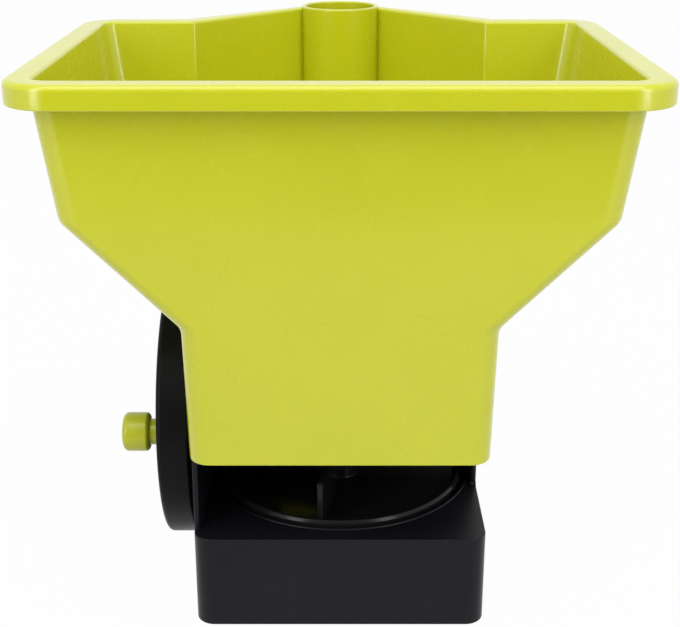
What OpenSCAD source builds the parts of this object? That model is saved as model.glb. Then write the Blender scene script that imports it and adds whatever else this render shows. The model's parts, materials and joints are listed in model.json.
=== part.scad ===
// Hand spreader: a hopper with a grip tube stands on a housing whose spinner throws what falls
// through the outlet port. A crank wheel with inner teeth drives a pinion on a layshaft, and a
// pair of mitre gears turns the upright spinner shaft.
// The origin is on the resting plane under the spinner's axis. +X points away from the crank
// wheel, +Y to the grip at the rear, +Z up. All lengths are millimetres.

/* [Hopper] */
// Width of the rim
rim_w = 251; // [242:1:280]
// Front of the rim, ahead of the spinner's axis
rim_front = 89; // [85:1:113]
// Straight back of the rim, behind the spinner's axis
rim_rear = 96.5; // [87:0.5:103]
// How far the rim stands out from the wall
rim_over = 9; // [7:0.5:11]
// Height of the rim's skirt
rim_skirt = 9.5; // [6:0.5:16]
// Radius on the rim's outer top edge
rim_round = 2.6; // [1:0.1:3.5]
// Height from the neck's foot to the rim's top
hopper_h = 160; // [150:1:180]
// Height of the sloping sides
slope_h = 45; // [38:0.5:56]
// Height of the straight neck
neck_h = 59.4; // [54:0.2:66]
// Width at the side bend
bend_w = 217.8; // [200:0.2:226]
// Radius of the side bend
bend_r = 7; // [4:0.5:16]
// How much wider the neck's top is than its foot
neck_draft = 2; // [0:0.1:4]
// How far the neck's foot lies inside the housing's side
neck_inset = 0.1; // [0:0.1:1]
// How far the neck's front stands ahead of the housing
neck_lip = 4.3; // [2:0.1:8]
// How far the neck's back lies inside the housing's back
neck_rear_inset = 2; // [0.5:0.1:2.4]
// Thickness of the moulded wall
wall = 2.4; // [2:0.1:3]
// Corner radius of the rim's front
rim_corner = 20; // [15:0.5:26]
// Corner radius of the wall under the rim's front
front_corner = 9.5; // [8:0.5:18]
// Corner radius of the wall under the rim's back
rear_corner = 9; // [6:0.5:12]
// Corner radius of the neck
neck_corner = 9; // [6:0.5:12]
// Width of the rear bay where it leaves the straight back
bay_w = 144; // [130:1:156]
// Width of the rear bay where it meets the neck
bay_neck_w = 79.2; // [70:0.2:90]

/* [Grip] */
// Distance of the grip tube behind the spinner's axis
grip_y = 145; // [137:1:167]
// Outer diameter of the grip tube
grip_d = 40.6; // [36:0.2:44]
// Wall of the grip tube
grip_wall = 2.4; // [2:0.1:4]
// Length of the grip tube
grip_len = 148; // [130:1:156]
// How far the grip's open end stands above the rim
grip_rise = 0.8; // [0.4:0.1:3]
// Radius round the grip's closed end
grip_round = 7; // [3:0.5:10]

/* [Housing] */
// Deck between the well and the housing's sides
side_land = 4; // [3:0.1:5]
// Deck ahead of the well
front_land = 10; // [7:0.5:17]
// Deck behind the well
rear_land = 12; // [11.4:0.1:15]
// Wall of the base box
base_wall = 2.6; // [2:0.1:2.8]
// Corner radius of the base box
base_corner = 8; // [6:0.5:10]
// Thickness of the deck
deck_t = 2.6; // [2:0.1:4]
// Thickness of the side walls under the neck
side_wall = 2.5; // [2:0.1:3.4]
// Where the left wall starts, ahead of the spinner's axis
left_wall_front = 61; // [30:0.5:61]
// Where the right wall starts, ahead of the spinner's axis
right_wall_front = 19; // [17:0.5:43]
// Thickness of the rear wall
rear_wall = 4; // [3:0.1:4.2]
// Thickness of the bottom cover
cover_t = 3; // [2.6:0.1:4]
// Thickness of the outlet plate
plate_t = 2.6; // [2:0.1:4]

/* [Spinner] */
// Diameter of the spinner
spinner_d = 115; // [110:0.5:125]
// Gap between the spinner and the well
well_gap = 1.5; // [1:0.1:2.5]
// Depth of the well
well_depth = 6.1; // [5:0.1:8]
// Thickness of the well's floor
well_floor = 2.2; // [1.8:0.1:3]
// Gap between the well's floor and the spinner
spinner_lift = 1.3; // [1.2:0.1:2]
// Thickness of the spinner's floor
spinner_t = 2.2; // [1.6:0.1:3]
// Height of the spinner's rim over its underside
spinner_rim_h = 7; // [4:0.1:9]
// Number of vanes
vane_n = 4; // [3:1:6]
// Height of the vanes over the spinner's floor
vane_h = 21; // [10:0.5:22]
// Thickness of a vane
vane_t = 2.7; // [2:0.1:4]
// Direction of the first vane
vane_angle = -99.5; // [-180:0.5:180]
// Diameter of the spinner shaft
shaft_d = 6; // [5:0.1:6.4]
// Length of the shaft above the hopper's floor
shaft_top = 9; // [7:0.5:14]
// Reach of the agitator's fingers
agitator_r = 38; // [20:1:40]

/* [Gears] */
// Height of the layshaft
layshaft_z = 24; // [22:0.5:30]
// Module of the ring gear and its pinion
gear_m = 1.25; // [1.2:0.01:1.3]
// Teeth of the ring gear inside the crank wheel: two more than a multiple of four
ring_teeth = 90; // [86:4:94]
// Teeth of the pinion
pinion_teeth = 10; // [10:4:14]
// Face width of the ring gear and the pinion
gear_face = 6; // [4:0.1:6.4]
// Teeth of a mitre gear
mitre_teeth = 16; // [16:4:20]
// Pitch radius of a mitre gear
mitre_r = 8; // [7.6:0.1:9]
// Face of a mitre gear along its axis
mitre_face = 3.6; // [2:0.1:3.8]
// Play between meshing teeth along the pitch circle
backlash = 0.5; // [0.3:0.05:0.7]
// Diameter of the layshaft
layshaft_d = 6; // [5:0.1:6.4]

/* [Crank] */
// Distance of the wheel's axle behind the spinner's axis
wheel_back = 7; // [0:0.5:9]
// Wall of the wheel outside the ring gear
wheel_rim = 3.4; // [2:0.1:5]
// Width of the wheel along its axle
wheel_w = 14.1; // [13.8:0.1:18]
// Gap between the wheel and the housing
wheel_gap = 1.9; // [1.7:0.1:4]
// Thickness of the wheel's face
wheel_face = 2.6; // [2:0.1:3]
// Diameter of the axle
axle_d = 8; // [6:0.1:8.4]
// Diameter of the boss that holds the axle
axle_boss_d = 13; // [11:0.1:14]
// Length of that boss
axle_boss_l = 9.3; // [7:0.1:14]
// Distance of the knob from the wheel's axis
knob_reach = 46; // [36:0.5:48]
// Direction of the knob above straight ahead
knob_angle = 7; // [-30:1:30]
// Diameter of the knob's head
knob_d = 17; // [15:0.1:20]
// Length of the knob's head
knob_len = 11.4; // [10:0.1:20]
// Diameter of the knob's neck
knob_neck_d = 11.4; // [10:0.1:13]
// Length of the knob's neck
knob_neck = 4; // [2:0.1:8]
// Diameter of the knob's pin
knob_pin_d = 5; // [4:0.1:5.4]

/* [Flow gate] */
// Port centre across, from the spinner's axis
port_x = -20.8; // [-24:0.1:-18]
// Port centre behind the spinner's axis
port_y = 37.2; // [34:0.1:41]
// Width of the port
port_w = 17.4; // [10:0.1:18]
// Length of the port
port_l = 17.4; // [10:0.1:20]
// Thickness of the gate
gate_t = 2.4; // [1.6:0.1:4]
// How far the gate overlaps the port's sides
gate_lap = 3.5; // [2:0.1:3.6]
// How far the shut gate passes the port's front edge
gate_over = 1; // [0.5:0.1:2]
// Free length of the gate behind the neck when it is shut
gate_tail = 5; // [3:0.5:8]
// Height of the thumb tab
tab_h = 22; // [16:0.5:28]
// Thickness of the thumb tab
tab_t = 8; // [7:0.5:12]

/* [Fits] */
// Radial play of a turning shaft
run_play = 0.05; // [0.02:0.01:0.1]
// Radial play of a piece that is pushed on and stays
seat_play = 0.02; // [0.01:0.01:0.05]
// Gap of sliding and turning faces
face_gap = 0.3; // [0.2:0.05:0.5]
// Gap round a piece that drops into another
drop_gap = 0.3; // [0.2:0.05:0.5]

/* [Fasteners] */
// Shank diameter of the screws
screw_d = 3.2; // [2.6:0.1:3.6]
// Head diameter of the screws
screw_head_d = 6.4; // [5.4:0.1:7]
// Head height of the screws
screw_head_h = 1.6; // [1.2:0.1:2]
// Length of the hopper screws under their heads
hopper_screw_l = 17; // [14:0.5:24]
// Length of the cover screws under their heads
cover_screw_l = 12; // [8:0.5:20]
// Diameter of a screw boss
screw_boss_d = 8; // [7.4:0.1:9]
// Thickness of the shaft clips
clip_t = 0.8; // [0.6:0.1:1.2]
// Radial width of the shaft clips
clip_w = 2.4; // [1.5:0.1:3]
// Wall of the shaft bushes
bush_wall = 1.5; // [1:0.1:1.6]
// Flange thickness of the shaft bushes
bush_flange = 1; // [0.8:0.1:1.2]

/* [Hidden] */
$fn = 64;
ROUND_STEPS = 5;
CUT = 1;
LIME = [0.76, 0.79, 0.16];
BLACK = [0.10, 0.10, 0.11];
STEEL = [0.70, 0.71, 0.73];
NYLON = [0.85, 0.84, 0.80];
RUBBER = [0.16, 0.16, 0.16];

// Gear sizes
ring_r = gear_m * ring_teeth / 2;
pinion_r = gear_m * pinion_teeth / 2;
gear_centre = ring_r - pinion_r;
mesh_turn = asin(wheel_back / gear_centre);
tooth_out = 0.8 * gear_m;
tooth_in = 1.15 * gear_m;
pinion_tip_r = pinion_r + tooth_out;
pinion_root_r = pinion_r - tooth_in;
pressure = 24;
mitre_add = mitre_r * 0.16;
mitre_ded = mitre_r * 0.2;
mitre_lean = 14;
mitre_tip_r = mitre_r + mitre_add;
mitre_hub_d = 2 * (mitre_r - mitre_ded) - 1;
mitre_hub_l = 4.5;
mitre_headroom = 0.9;

// Heights, from the resting plane up
wheel_z = layshaft_z + gear_centre * cos(mesh_turn);
wall_top = wheel_z + axle_boss_d / 2;
well_under = layshaft_z + mitre_tip_r + mitre_headroom;
well_top = well_under + well_floor;
deck_z = well_top + well_depth;
spinner_z = well_top + spinner_lift;
spinner_floor_z = spinner_z + spinner_t;
plate_z = wall_top + plate_t;
gate_z = plate_z + face_gap;
floor_under = gate_z + gate_t + face_gap;
floor_top = floor_under + wall;
neck_z = wall_top + neck_h;
bend_z = neck_z + slope_h;
rim_z = wall_top + hopper_h;
upper_h = rim_z - bend_z;
grip_top = rim_z + grip_rise;
grip_foot = grip_top - grip_len;

// Plan sizes, from the spinner's axis out
spinner_r = spinner_d / 2;
well_r = spinner_r + well_gap;
base_half = well_r + side_land;
base_front = well_r + front_land;
base_rear = well_r + rear_land;
side_wall_in = base_half - side_wall;
neck_foot = base_half - neck_inset;
neck_half = neck_foot + neck_draft / 2;
neck_front = base_front + neck_lip;
neck_rear = base_rear - neck_rear_inset;
bend_half = bend_w / 2;
rim_half = rim_w / 2;
wall_half = rim_half - rim_over;
grip_r = grip_d / 2;
bay_tip = grip_r - grip_wall / 2;
bay_half = bay_w / 2;
bay_neck_half = bay_neck_w / 2;
bay_round = 2;
rim_bay_out = 4.7;
rim_tip_out = 3;
tip_round = 2;
slope_angle = atan2(slope_h, bend_half - neck_half);
inner_lift = wall * (1 / sin(slope_angle) - 1) * tan(slope_angle);
bend_turn = slope_angle < 90 ? 90 - slope_angle - atan2(wall_half - bend_half, upper_h) : 0;
bend_tangent = bend_r * tan(bend_turn / 2);

// The crank wheel, along -X from the housing's side
wheel_in = -base_half - wheel_gap;
wheel_out = wheel_in - wheel_w;
face_in = wheel_out + wheel_face;
wheel_root_r = ring_r + tooth_in;
wheel_r = wheel_root_r + wheel_rim;
ring_band = 0.4;
wheel_bore_r = wheel_root_r + ring_band;
hub_recess = 3.6;
hub_seat = wheel_out + hub_recess;
hub_d = 25;
hub_recess_d = 19;
axle_end = hub_seat - face_gap;
axle_head = -base_half + axle_boss_l;
axle_head_step = 0.5;
axle_head_d = axle_boss_d - 2 * axle_head_step;
axle_head_t = 2.5;
axle_washer_d = 13.6;
axle_washer_t = 1;
axle_washer_play = 0.2;
axle_screw_head_d = 7;
axle_screw_head_t = 1.4;
axle_screw_d = 4;
axle_screw_l = 10;
cap_in = axle_end - axle_washer_t - axle_screw_head_t - face_gap;
cap_t = 1.6;
cap_skirt = 1.2;
cap_skirt_l = 1.8;
dish_depth = 1;
dish_land = 3;
dish_edge = 6;
dish_out_r = wheel_r - dish_edge;
wheel_ribs = 6;
rib_t = 2;
rib_gap = 3;
rib_r = ring_r - 2 * pinion_r - rib_gap;
rib_depth = 5;

// The knob, along -X from the wheel's face
knob_in = wheel_out - face_gap;
knob_out = knob_in - knob_neck - knob_len;
pin_head_over = 1.7;
knob_pin_head_d = knob_pin_d + 2 * pin_head_over;
knob_pin_head_t = 1.8;
knob_cap_t = 2;
knob_head_seat = knob_out + knob_cap_t + face_gap + knob_pin_head_t + face_gap;
knob_boss_l = 5.6;
knob_pin_in = wheel_out + knob_boss_l;
knob_boss_step = 1;
knob_boss_d = knob_d - 2 * knob_boss_step;
teeth_gap = 0.6;
teeth_x0 = knob_pin_in + teeth_gap;

// Bushes and shafts
bush_d = shaft_d + 2 * run_play + 2 * bush_wall;
lay_bush_d = layshaft_d + 2 * run_play + 2 * bush_wall;
flange_over = 2;
boss_wall = 3;
lay_boss_d = lay_bush_d + 2 * boss_wall;
lay_boss_l = 12;
bracket_t = 7;
bracket_gap = 3.5;
bracket_x1 = -mitre_r - mitre_hub_l - bracket_gap - bush_flange;
bracket_x0 = bracket_x1 - bracket_t;
lower_boss_d = bush_d + 2 * boss_wall;
lower_bush_z = cover_t;
thrust_t = 0.8;
mitre_base_z = layshaft_z - mitre_r;
driven_foot = mitre_base_z - mitre_hub_l;
lower_bush_top = driven_foot - thrust_t - face_gap;
spinner_hub_h = 12;
hub_top = spinner_floor_z + spinner_hub_h;
spinner_hub_d = 18;
vane_inset = 4;
vane_r = spinner_r - vane_inset;
spinner_rim_t = 2.2;
bush_end_t = 0.3;
shaft_foot_gap = 0.2;
shaft_foot = lower_bush_z + bush_end_t + shaft_foot_gap;
shaft_end = floor_top + shaft_top;
seal_t = 1.6;
seal_over = 4;
seal_d = shaft_d + 2 * seal_over;
agitator_foot = floor_top + seal_t + 2 * face_gap;
agitator_hub_d = 13;
finger_d = 4;

// Screw places
boss_clear = 1.5;
post_gap = 1;
boss_setback = 3;
screw_x = neck_foot - wall - screw_boss_d / 2 - boss_clear;
screw_rear = base_rear - rear_wall - screw_boss_d / 2 - post_gap;
screw_front = right_wall_front - screw_boss_d / 2 - boss_setback;
wall_boss_h = 16;
cover_boss_gap = 1.6;
cover_boss_in = base_wall + screw_boss_d / 2 + cover_boss_gap;
cover_screw_x = base_half - cover_boss_in;
cover_screw_front = base_front - cover_boss_in;
cover_screw_rear = base_rear - cover_boss_in;
screw_hole_d = screw_d + 2 * seat_play;
screw_pass_play = 0.25;
screw_pass_d = screw_d + 2 * screw_pass_play;
screw_sink = screw_head_h + face_gap;

// The flow gate
port_y0 = port_y - port_l / 2;
plate_port_over = 0.5;
gate_x0 = port_x - port_w / 2 - gate_lap;
gate_x1 = port_x + port_w / 2 + gate_lap;
gate_y0 = port_y0 - gate_over;
tab_y0 = neck_rear + gate_tail;
tab_y1 = tab_y0 + tab_t;
tab_back = 2.5;
tab_grip = tab_t - tab_back;
tab_side = 3;
tab_corner = 4;
rail_w = 3;
rail_break = 7;
rail_y0 = shaft_d / 2 + rail_break;
rail_y1 = neck_rear - 3 * wall;

// Plane geometry

function unit(v) = v / norm(v);
function polar(r, a) = r * [cos(a), sin(a)];
function lerp(a, b, s) = a + (b - a) * s;
function clamp01(s) = max(0, min(1, s));
function arc(c, r, a0, a1, n) = [for (k = [0:n]) c + polar(r, lerp(a0, a1, k / n))];

// A circular arc that leaves the corner p by the length t on both sides
function corner(a, p, b, t, n) =
    let (p0 = p + unit(a - p) * t, p2 = p + unit(b - p) * t,
         w = sqrt((1 + unit(p - a) * unit(b - p)) / 2))
    [for (k = [0:n]) let (s = k / n, u = 1 - s)
        (u * u * p0 + 2 * u * s * w * p + s * s * p2) / (u * u + 2 * u * s * w + s * s)];

function rounded(pts, ts) =
    let (n = len(pts))
    [for (i = [0:n - 1]) each corner(pts[(i + n - 1) % n], pts[i], pts[(i + 1) % n], ts[i], ROUND_STEPS)];

function normal(a, b) = let (d = unit(b - a)) [d.y, -d.x];

// Every edge of a counter-clockwise outline moved out by d
function grown(pts, d) =
    let (n = len(pts))
    [for (i = [0:n - 1])
        let (n1 = normal(pts[(i + n - 1) % n], pts[i]), n2 = normal(pts[i], pts[(i + 1) % n]))
        pts[i] + d * (n1 + n2) / (1 + n1 * n2)];

// A solid skinned over rings of equal length, from the lowest up
module loft(rings) {
    n = len(rings[0]);
    m = len(rings);
    points = [for (r = rings) each r];
    sides = [for (j = [0:m - 2], i = [0:n - 1]) each
        let (a = j * n + i, b = j * n + (i + 1) % n)
        [[a, a + n, b], [b, a + n, b + n]]];
    foot = [for (i = [0:n - 1]) i];
    head = [for (i = [n - 1:-1:0]) (m - 1) * n + i];
    polyhedron(points, concat([foot], sides, [head]), convexity = 10);
}

function ring_at(outline, z) = [for (p = outline) [p.x, p.y, z]];

module z_rod(d, z0, z1) {
    translate([0, 0, z0]) cylinder(d = d, h = z1 - z0);
}

module z_tube(d, bore, z0, z1) {
    difference() {
        z_rod(d, z0, z1);
        z_rod(bore, z0 - CUT, z1 + CUT);
    }
}

module x_rod(d, x0, x1) {
    translate([x0, 0, 0]) rotate([0, 90, 0]) cylinder(d = d, h = x1 - x0);
}

module x_tube(d, bore, x0, x1) {
    difference() {
        x_rod(d, x0, x1);
        x_rod(bore, x0 - CUT, x1 + CUT);
    }
}

module at_wheel() { translate([0, wheel_back, wheel_z]) children(); }

module at_layshaft() { translate([0, 0, layshaft_z]) children(); }

module at_knob() {
    at_wheel() translate([0, -knob_reach * cos(knob_angle), knob_reach * sin(knob_angle)]) children();
}

module rounded_rect(x0, x1, y0, y1, r) {
    translate([x0 + r, y0]) square([x1 - x0 - 2 * r, y1 - y0]);
    translate([x0, y0 + r]) square([x1 - x0, y1 - y0 - 2 * r]);
    for (x = [x0 + r, x1 - r], y = [y0 + r, y1 - r]) translate([x, y]) circle(r);
}

// The base box's outline, moved in by inset
module footprint(inset, z0, z1) {
    translate([0, 0, z0]) linear_extrude(z1 - z0)
        rounded_rect(-base_half + inset, base_half - inset, -base_front + inset, base_rear - inset,
                     base_corner - inset);
}

// Gear outlines. The ring gear and its pinion are turned by mesh_turn, so that they mesh where
// the wheel's axle lies behind the layshaft.

function involute(r, base) = let (t = sqrt(max(0, (r / base) * (r / base) - 1))) t * 180 / PI - atan(t);

// Half the angle that a tooth of n teeth covers at radius r
function tooth_half(r, n, pitch, play) =
    let (base = pitch * cos(pressure))
    90 / n - play / pitch * 90 / PI + involute(pitch, base) - involute(r, base);

// A gear whose flanks have the given number of steps
function gear_outline(n, pitch, tip, root, play, steps) =
    [for (i = [0:n - 1], side = [-1, 1], k = [0:steps])
        let (r = lerp(root, tip, side < 0 ? k / steps : 1 - k / steps))
        polar(r, i * 360 / n + side * tooth_half(r, n, pitch, play))];

// A straight-flanked outline for the large end of a mitre gear
function mitre_outline() =
    let (half = mitre_r * PI / mitre_teeth / 2 - backlash / 2,
         tip = half - mitre_add * tan(mitre_lean), foot = half + mitre_ded * tan(mitre_lean),
         tip_a = asin(tip / mitre_tip_r), foot_r = mitre_r - mitre_ded, foot_a = asin(foot / foot_r))
    [for (i = [0:mitre_teeth - 1]) let (a = i * 360 / mitre_teeth) each [
        polar(foot_r, a - foot_a), polar(mitre_tip_r, a - tip_a),
        polar(mitre_tip_r, a + tip_a), polar(foot_r, a + foot_a)]];

// A mitre gear with its large end at z = 0 and its apex above
module mitre_gear(bore) {
    difference() {
        union() {
            linear_extrude(mitre_face, scale = 1 - mitre_face / mitre_r) polygon(mitre_outline());
            z_rod(mitre_hub_d, -mitre_hub_l, CUT / 2);
        }
        z_rod(bore, -mitre_hub_l - CUT, mitre_face + CUT);
    }
}

// Hopper

// Side profile of the hopper: half-width against height, from the neck's foot up
function side_profile() = concat(
    [[neck_foot, wall_top], [neck_half, neck_z]],
    corner([neck_half, neck_z], [bend_half, bend_z], [wall_half, rim_z], bend_tangent, 3));

function up_share(z) = (z - wall_top) / (rim_z - wall_top);

// How far the sides have opened out: 0 in the neck, 1 above the bend
function open_share(half) = clamp01((half - neck_half) / (bend_half - neck_half));

// Sharp plan corners where the wall has the given half-width and height
function plan(half, z) =
    let (s = open_share(half),
         front = lerp(neck_front, rim_front - rim_over, up_share(z)),
         rear = lerp(neck_rear, rim_rear - rim_over, up_share(z)),
         bay = lerp(bay_neck_half, bay_half, s), tip = lerp(rear, grip_y, s))
    [[-half, -front], [half, -front], [half, rear], [bay, rear],
     [bay_tip, tip], [-bay_tip, tip], [-bay, rear], [-half, rear]];

// Tangent lengths that round those corners
function plan_rounds(half, grow) =
    let (s = open_share(half), f = lerp(neck_corner, front_corner, s) + grow,
         r = lerp(neck_corner, rear_corner, s) + grow)
    [f, f, r, bay_round, tip_round, tip_round, bay_round, r];

function wall_ring(half, z, inset, lift) =
    ring_at(rounded(grown(plan(half, z), -inset), plan_rounds(half, -inset)), z + lift);

function neck_ring(z, inset) =
    wall_ring(lerp(neck_foot, neck_half, (z - wall_top) / neck_h), z, inset, 0);

// Sharp plan corners of the rim's outside: it runs out on the grip tube
function rim_plan() =
    let (bay = bay_half + rim_bay_out, tip = grip_y + rim_tip_out)
    [[-rim_half, -rim_front], [rim_half, -rim_front], [rim_half, rim_rear], [bay, rim_rear],
     [bay_tip, tip], [-bay_tip, tip], [-bay, rim_rear], [-rim_half, rim_rear]];

function rim_rounds() =
    let (r = rear_corner + rim_over)
    [rim_corner, rim_corner, r, bay_round, tip_round, tip_round, bay_round, r];

// A ring that stands out from the wall's top, up to the rim's outside
function rim_ring(z, out) =
    let (s = out / rim_over)
    ring_at(rounded(lerp(plan(wall_half, rim_z), rim_plan(), s),
                    lerp(plan_rounds(wall_half, 0), rim_rounds(), s)), z);

// Half-width of the wall between the bend and the rim
function upper_half(z) = lerp(bend_half, wall_half, (z - bend_z) / upper_h);

// The hopper's one closed skin: from the floor's underside down inside the foot, up the outside,
// round the rim and down the inside to the floor's top
function hopper_rings() =
    let (sides = side_profile(), under = rim_z - wall, skirt = rim_z - rim_skirt, inner = rim_over - wall)
    concat(
        [neck_ring(floor_under, wall), neck_ring(wall_top, wall)],
        [for (p = sides) wall_ring(p.x, p.y, 0, 0)],
        [wall_ring(upper_half(under), under, 0, 0)],
        [rim_ring(under, inner), rim_ring(skirt, inner), rim_ring(skirt, rim_over)],
        [for (p = arc([rim_over - rim_round, rim_z - rim_round], rim_round, 0, 90, 3)) rim_ring(p.y, p.x)],
        [wall_ring(wall_half, rim_z, wall, 0)],
        [for (k = [len(sides) - 1:-1:1]) wall_ring(sides[k].x, sides[k].y, wall, inner_lift)],
        [neck_ring(floor_top, wall)]);

module grip_tube() {
    end = arc([grip_r - grip_round, grip_foot + grip_round], grip_round, -90, 0, 8);
    translate([0, grip_y, 0]) rotate_extrude()
        polygon(concat([[0, grip_top], [0, grip_foot]], end, [[grip_r, grip_top]]));
}

module screw_places() {
    for (x = [-screw_x, screw_x], y = [-screw_front, screw_rear]) translate([x, y, 0]) children();
}

module port_cut(grow, z0, z1) {
    translate([port_x - port_w / 2 - grow, port_y0 - grow, z0])
        cube([port_w + 2 * grow, port_l + 2 * grow, z1 - z0]);
}

module hopper() {
    color(LIME) difference() {
        union() {
            loft(hopper_rings());
            grip_tube();
            screw_places() z_rod(screw_boss_d, plate_z, floor_under + CUT / 2);
        }
        translate([0, grip_y, 0]) z_rod(grip_d - 2 * grip_wall, grip_foot + grip_wall, grip_top + CUT);
        port_cut(0, floor_under - CUT, floor_top + CUT);
        z_rod(shaft_d + 2 * face_gap, floor_under - CUT, floor_top + CUT);
        screw_places() z_rod(screw_pass_d, plate_z - CUT, floor_top + CUT);
        translate([gate_x0 - face_gap, neck_rear - 2 * wall - CUT, gate_z - face_gap])
            cube([gate_x1 - gate_x0 + 2 * face_gap, 3 * wall + CUT, gate_t + 2 * face_gap]);
    }
}

module hopper_screws() {
    color(STEEL) screw_places() {
        z_rod(screw_d, floor_top - hopper_screw_l, floor_top + CUT / 2);
        z_rod(screw_head_d, floor_top, floor_top + screw_head_h);
    }
}

// Plate and gate under the hopper

module gate_rails() {
    for (x = [gate_x0 - face_gap - rail_w, gate_x1 + face_gap])
        translate([x, rail_y0, plate_z - CUT / 2])
            cube([rail_w, rail_y1 - rail_y0, gate_t + face_gap + CUT / 2]);
}

module outlet_plate() {
    inset = wall + drop_gap;
    color(BLACK) difference() {
        union() {
            loft([neck_ring(wall_top, inset), neck_ring(plate_z, inset)]);
            gate_rails();
        }
        port_cut(plate_port_over, wall_top - CUT, plate_z + CUT);
        z_rod(bush_d + 2 * seat_play, wall_top - CUT, plate_z + CUT);
        screw_places() z_rod(screw_pass_d, wall_top - CUT, plate_z + CUT);
    }
}

module deck_bush() {
    color(NYLON) difference() {
        union() {
            z_rod(bush_d, wall_top - bush_flange, plate_z);
            z_rod(bush_d + 2 * flange_over, wall_top - bush_flange, wall_top);
        }
        z_rod(shaft_d + 2 * run_play, wall_top - 2 * CUT - bush_flange, plate_z + CUT);
    }
}

module shaft_seal() {
    color(RUBBER) z_tube(seal_d, shaft_d + 2 * run_play, floor_top, floor_top + seal_t);
}

module flow_gate() {
    color(LIME) translate([gate_x0, gate_y0, gate_z])
        cube([gate_x1 - gate_x0, tab_y0 + tab_grip - gate_y0, gate_t]);
}

module gate_tab() {
    mid = gate_z + gate_t / 2;
    color(BLACK) difference() {
        translate([0, tab_y1, 0]) rotate([90, 0, 0]) linear_extrude(tab_t)
            rounded_rect(gate_x0 - tab_side, gate_x1 + tab_side,
                         mid - tab_h / 2, mid + tab_h / 2, tab_corner);
        translate([gate_x0 - seat_play, tab_y0 - CUT, gate_z - seat_play])
            cube([gate_x1 - gate_x0 + 2 * seat_play, tab_grip + CUT, gate_t + 2 * seat_play]);
    }
}

// Housing

module cover_screw_places() {
    for (x = [-cover_screw_x, cover_screw_x], y = [-cover_screw_front, cover_screw_rear])
        translate([x, y, 0]) children();
}

module base_walls() {
    intersection() {
        footprint(0, deck_z - CUT, wall_top);
        union() {
            translate([-base_half, -left_wall_front, 0])
                cube([side_wall, left_wall_front + base_rear, wall_top]);
            translate([side_wall_in, -right_wall_front, 0])
                cube([side_wall, right_wall_front + base_rear, wall_top]);
            translate([-base_half, base_rear - rear_wall, 0]) cube([2 * base_half, rear_wall, wall_top]);
        }
    }
}

module base_box() {
    difference() {
        footprint(0, 0, deck_z);
        footprint(base_wall, -CUT, deck_z - deck_t);
    }
    intersection() {
        footprint(base_wall / 2, well_under, deck_z);
        z_rod(2 * (well_r + base_wall), well_under, deck_z);
    }
    cover_screw_places() z_rod(screw_boss_d, cover_t, deck_z - deck_t + CUT / 2);
}

module base_bosses() {
    at_wheel() x_rod(axle_boss_d, -base_half, axle_head);
    at_layshaft() x_rod(lay_boss_d, -base_half, -base_half + lay_boss_l);
    translate([bracket_x0, -lay_boss_d / 2, layshaft_z - lay_boss_d / 2])
        cube([bracket_x1 - bracket_x0, lay_boss_d, well_under - layshaft_z + lay_boss_d / 2 + CUT / 2]);
    for (x = [-screw_x, screw_x]) {
        translate([x, -screw_front, 0]) z_rod(screw_boss_d, wall_top - wall_boss_h, wall_top);
        translate([x, screw_rear, 0]) z_rod(screw_boss_d, deck_z - CUT / 2, wall_top);
    }
    for (side = [0, 1]) mirror([side, 0, 0])
        translate([screw_x, -screw_front - screw_boss_d / 2, wall_top - wall_boss_h])
            cube([side_wall_in + CUT / 2 - screw_x, screw_boss_d, wall_boss_h]);
}

module base_housing() {
    color(BLACK) difference() {
        union() {
            base_walls();
            base_box();
            base_bosses();
        }
        z_rod(2 * well_r, well_top, spinner_z + spinner_rim_h + CUT);
        z_rod(bush_d + 2 * seat_play, well_under - CUT, well_top + CUT);
        at_wheel() x_rod(axle_d + 2 * seat_play, -base_half - CUT, axle_head + CUT);
        at_layshaft() x_rod(lay_bush_d + 2 * seat_play, -base_half - CUT, -base_half + lay_boss_l + CUT);
        at_layshaft() x_rod(lay_bush_d + 2 * seat_play, bracket_x0 - CUT, bracket_x1 + CUT);
        screw_places() z_rod(screw_hole_d, floor_top - hopper_screw_l - CUT, wall_top + CUT);
        cover_screw_places() z_rod(screw_hole_d, 0, screw_sink + cover_screw_l + CUT);
    }
}

module bottom_cover() {
    color(BLACK) difference() {
        union() {
            footprint(base_wall + drop_gap, 0, cover_t);
            z_rod(lower_boss_d, cover_t - CUT / 2, lower_bush_top - bush_flange);
        }
        z_rod(bush_d + 2 * seat_play, lower_bush_z, lower_bush_top + CUT);
        cover_screw_places() {
            z_rod(screw_pass_d, -CUT, cover_t + CUT);
            z_rod(screw_head_d + 2 * drop_gap, -CUT, screw_sink);
        }
    }
}

module cover_screws() {
    color(STEEL) cover_screw_places() {
        z_rod(screw_head_d, screw_sink - screw_head_h, screw_sink);
        z_rod(screw_d, screw_sink - CUT / 2, screw_sink + cover_screw_l);
    }
}

// Crank wheel and its axle

module wheel_axle() {
    color(STEEL) at_wheel() difference() {
        union() {
            x_rod(axle_d, axle_end, axle_head + CUT / 2);
            x_rod(axle_head_d, axle_head, axle_head + axle_head_t);
        }
        x_rod(axle_screw_d + 2 * seat_play, axle_end - CUT, axle_end + axle_screw_l);
    }
}

module axle_washer() {
    color(STEEL) at_wheel()
        x_tube(axle_washer_d, axle_screw_d + 2 * axle_washer_play, axle_end - axle_washer_t, axle_end);
}

module axle_screw() {
    seat = axle_end - axle_washer_t;
    color(STEEL) at_wheel() {
        x_rod(axle_screw_head_d, seat - axle_screw_head_t, seat);
        x_rod(axle_screw_d, seat - CUT / 2, axle_end + axle_screw_l - CUT);
    }
}

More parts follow.
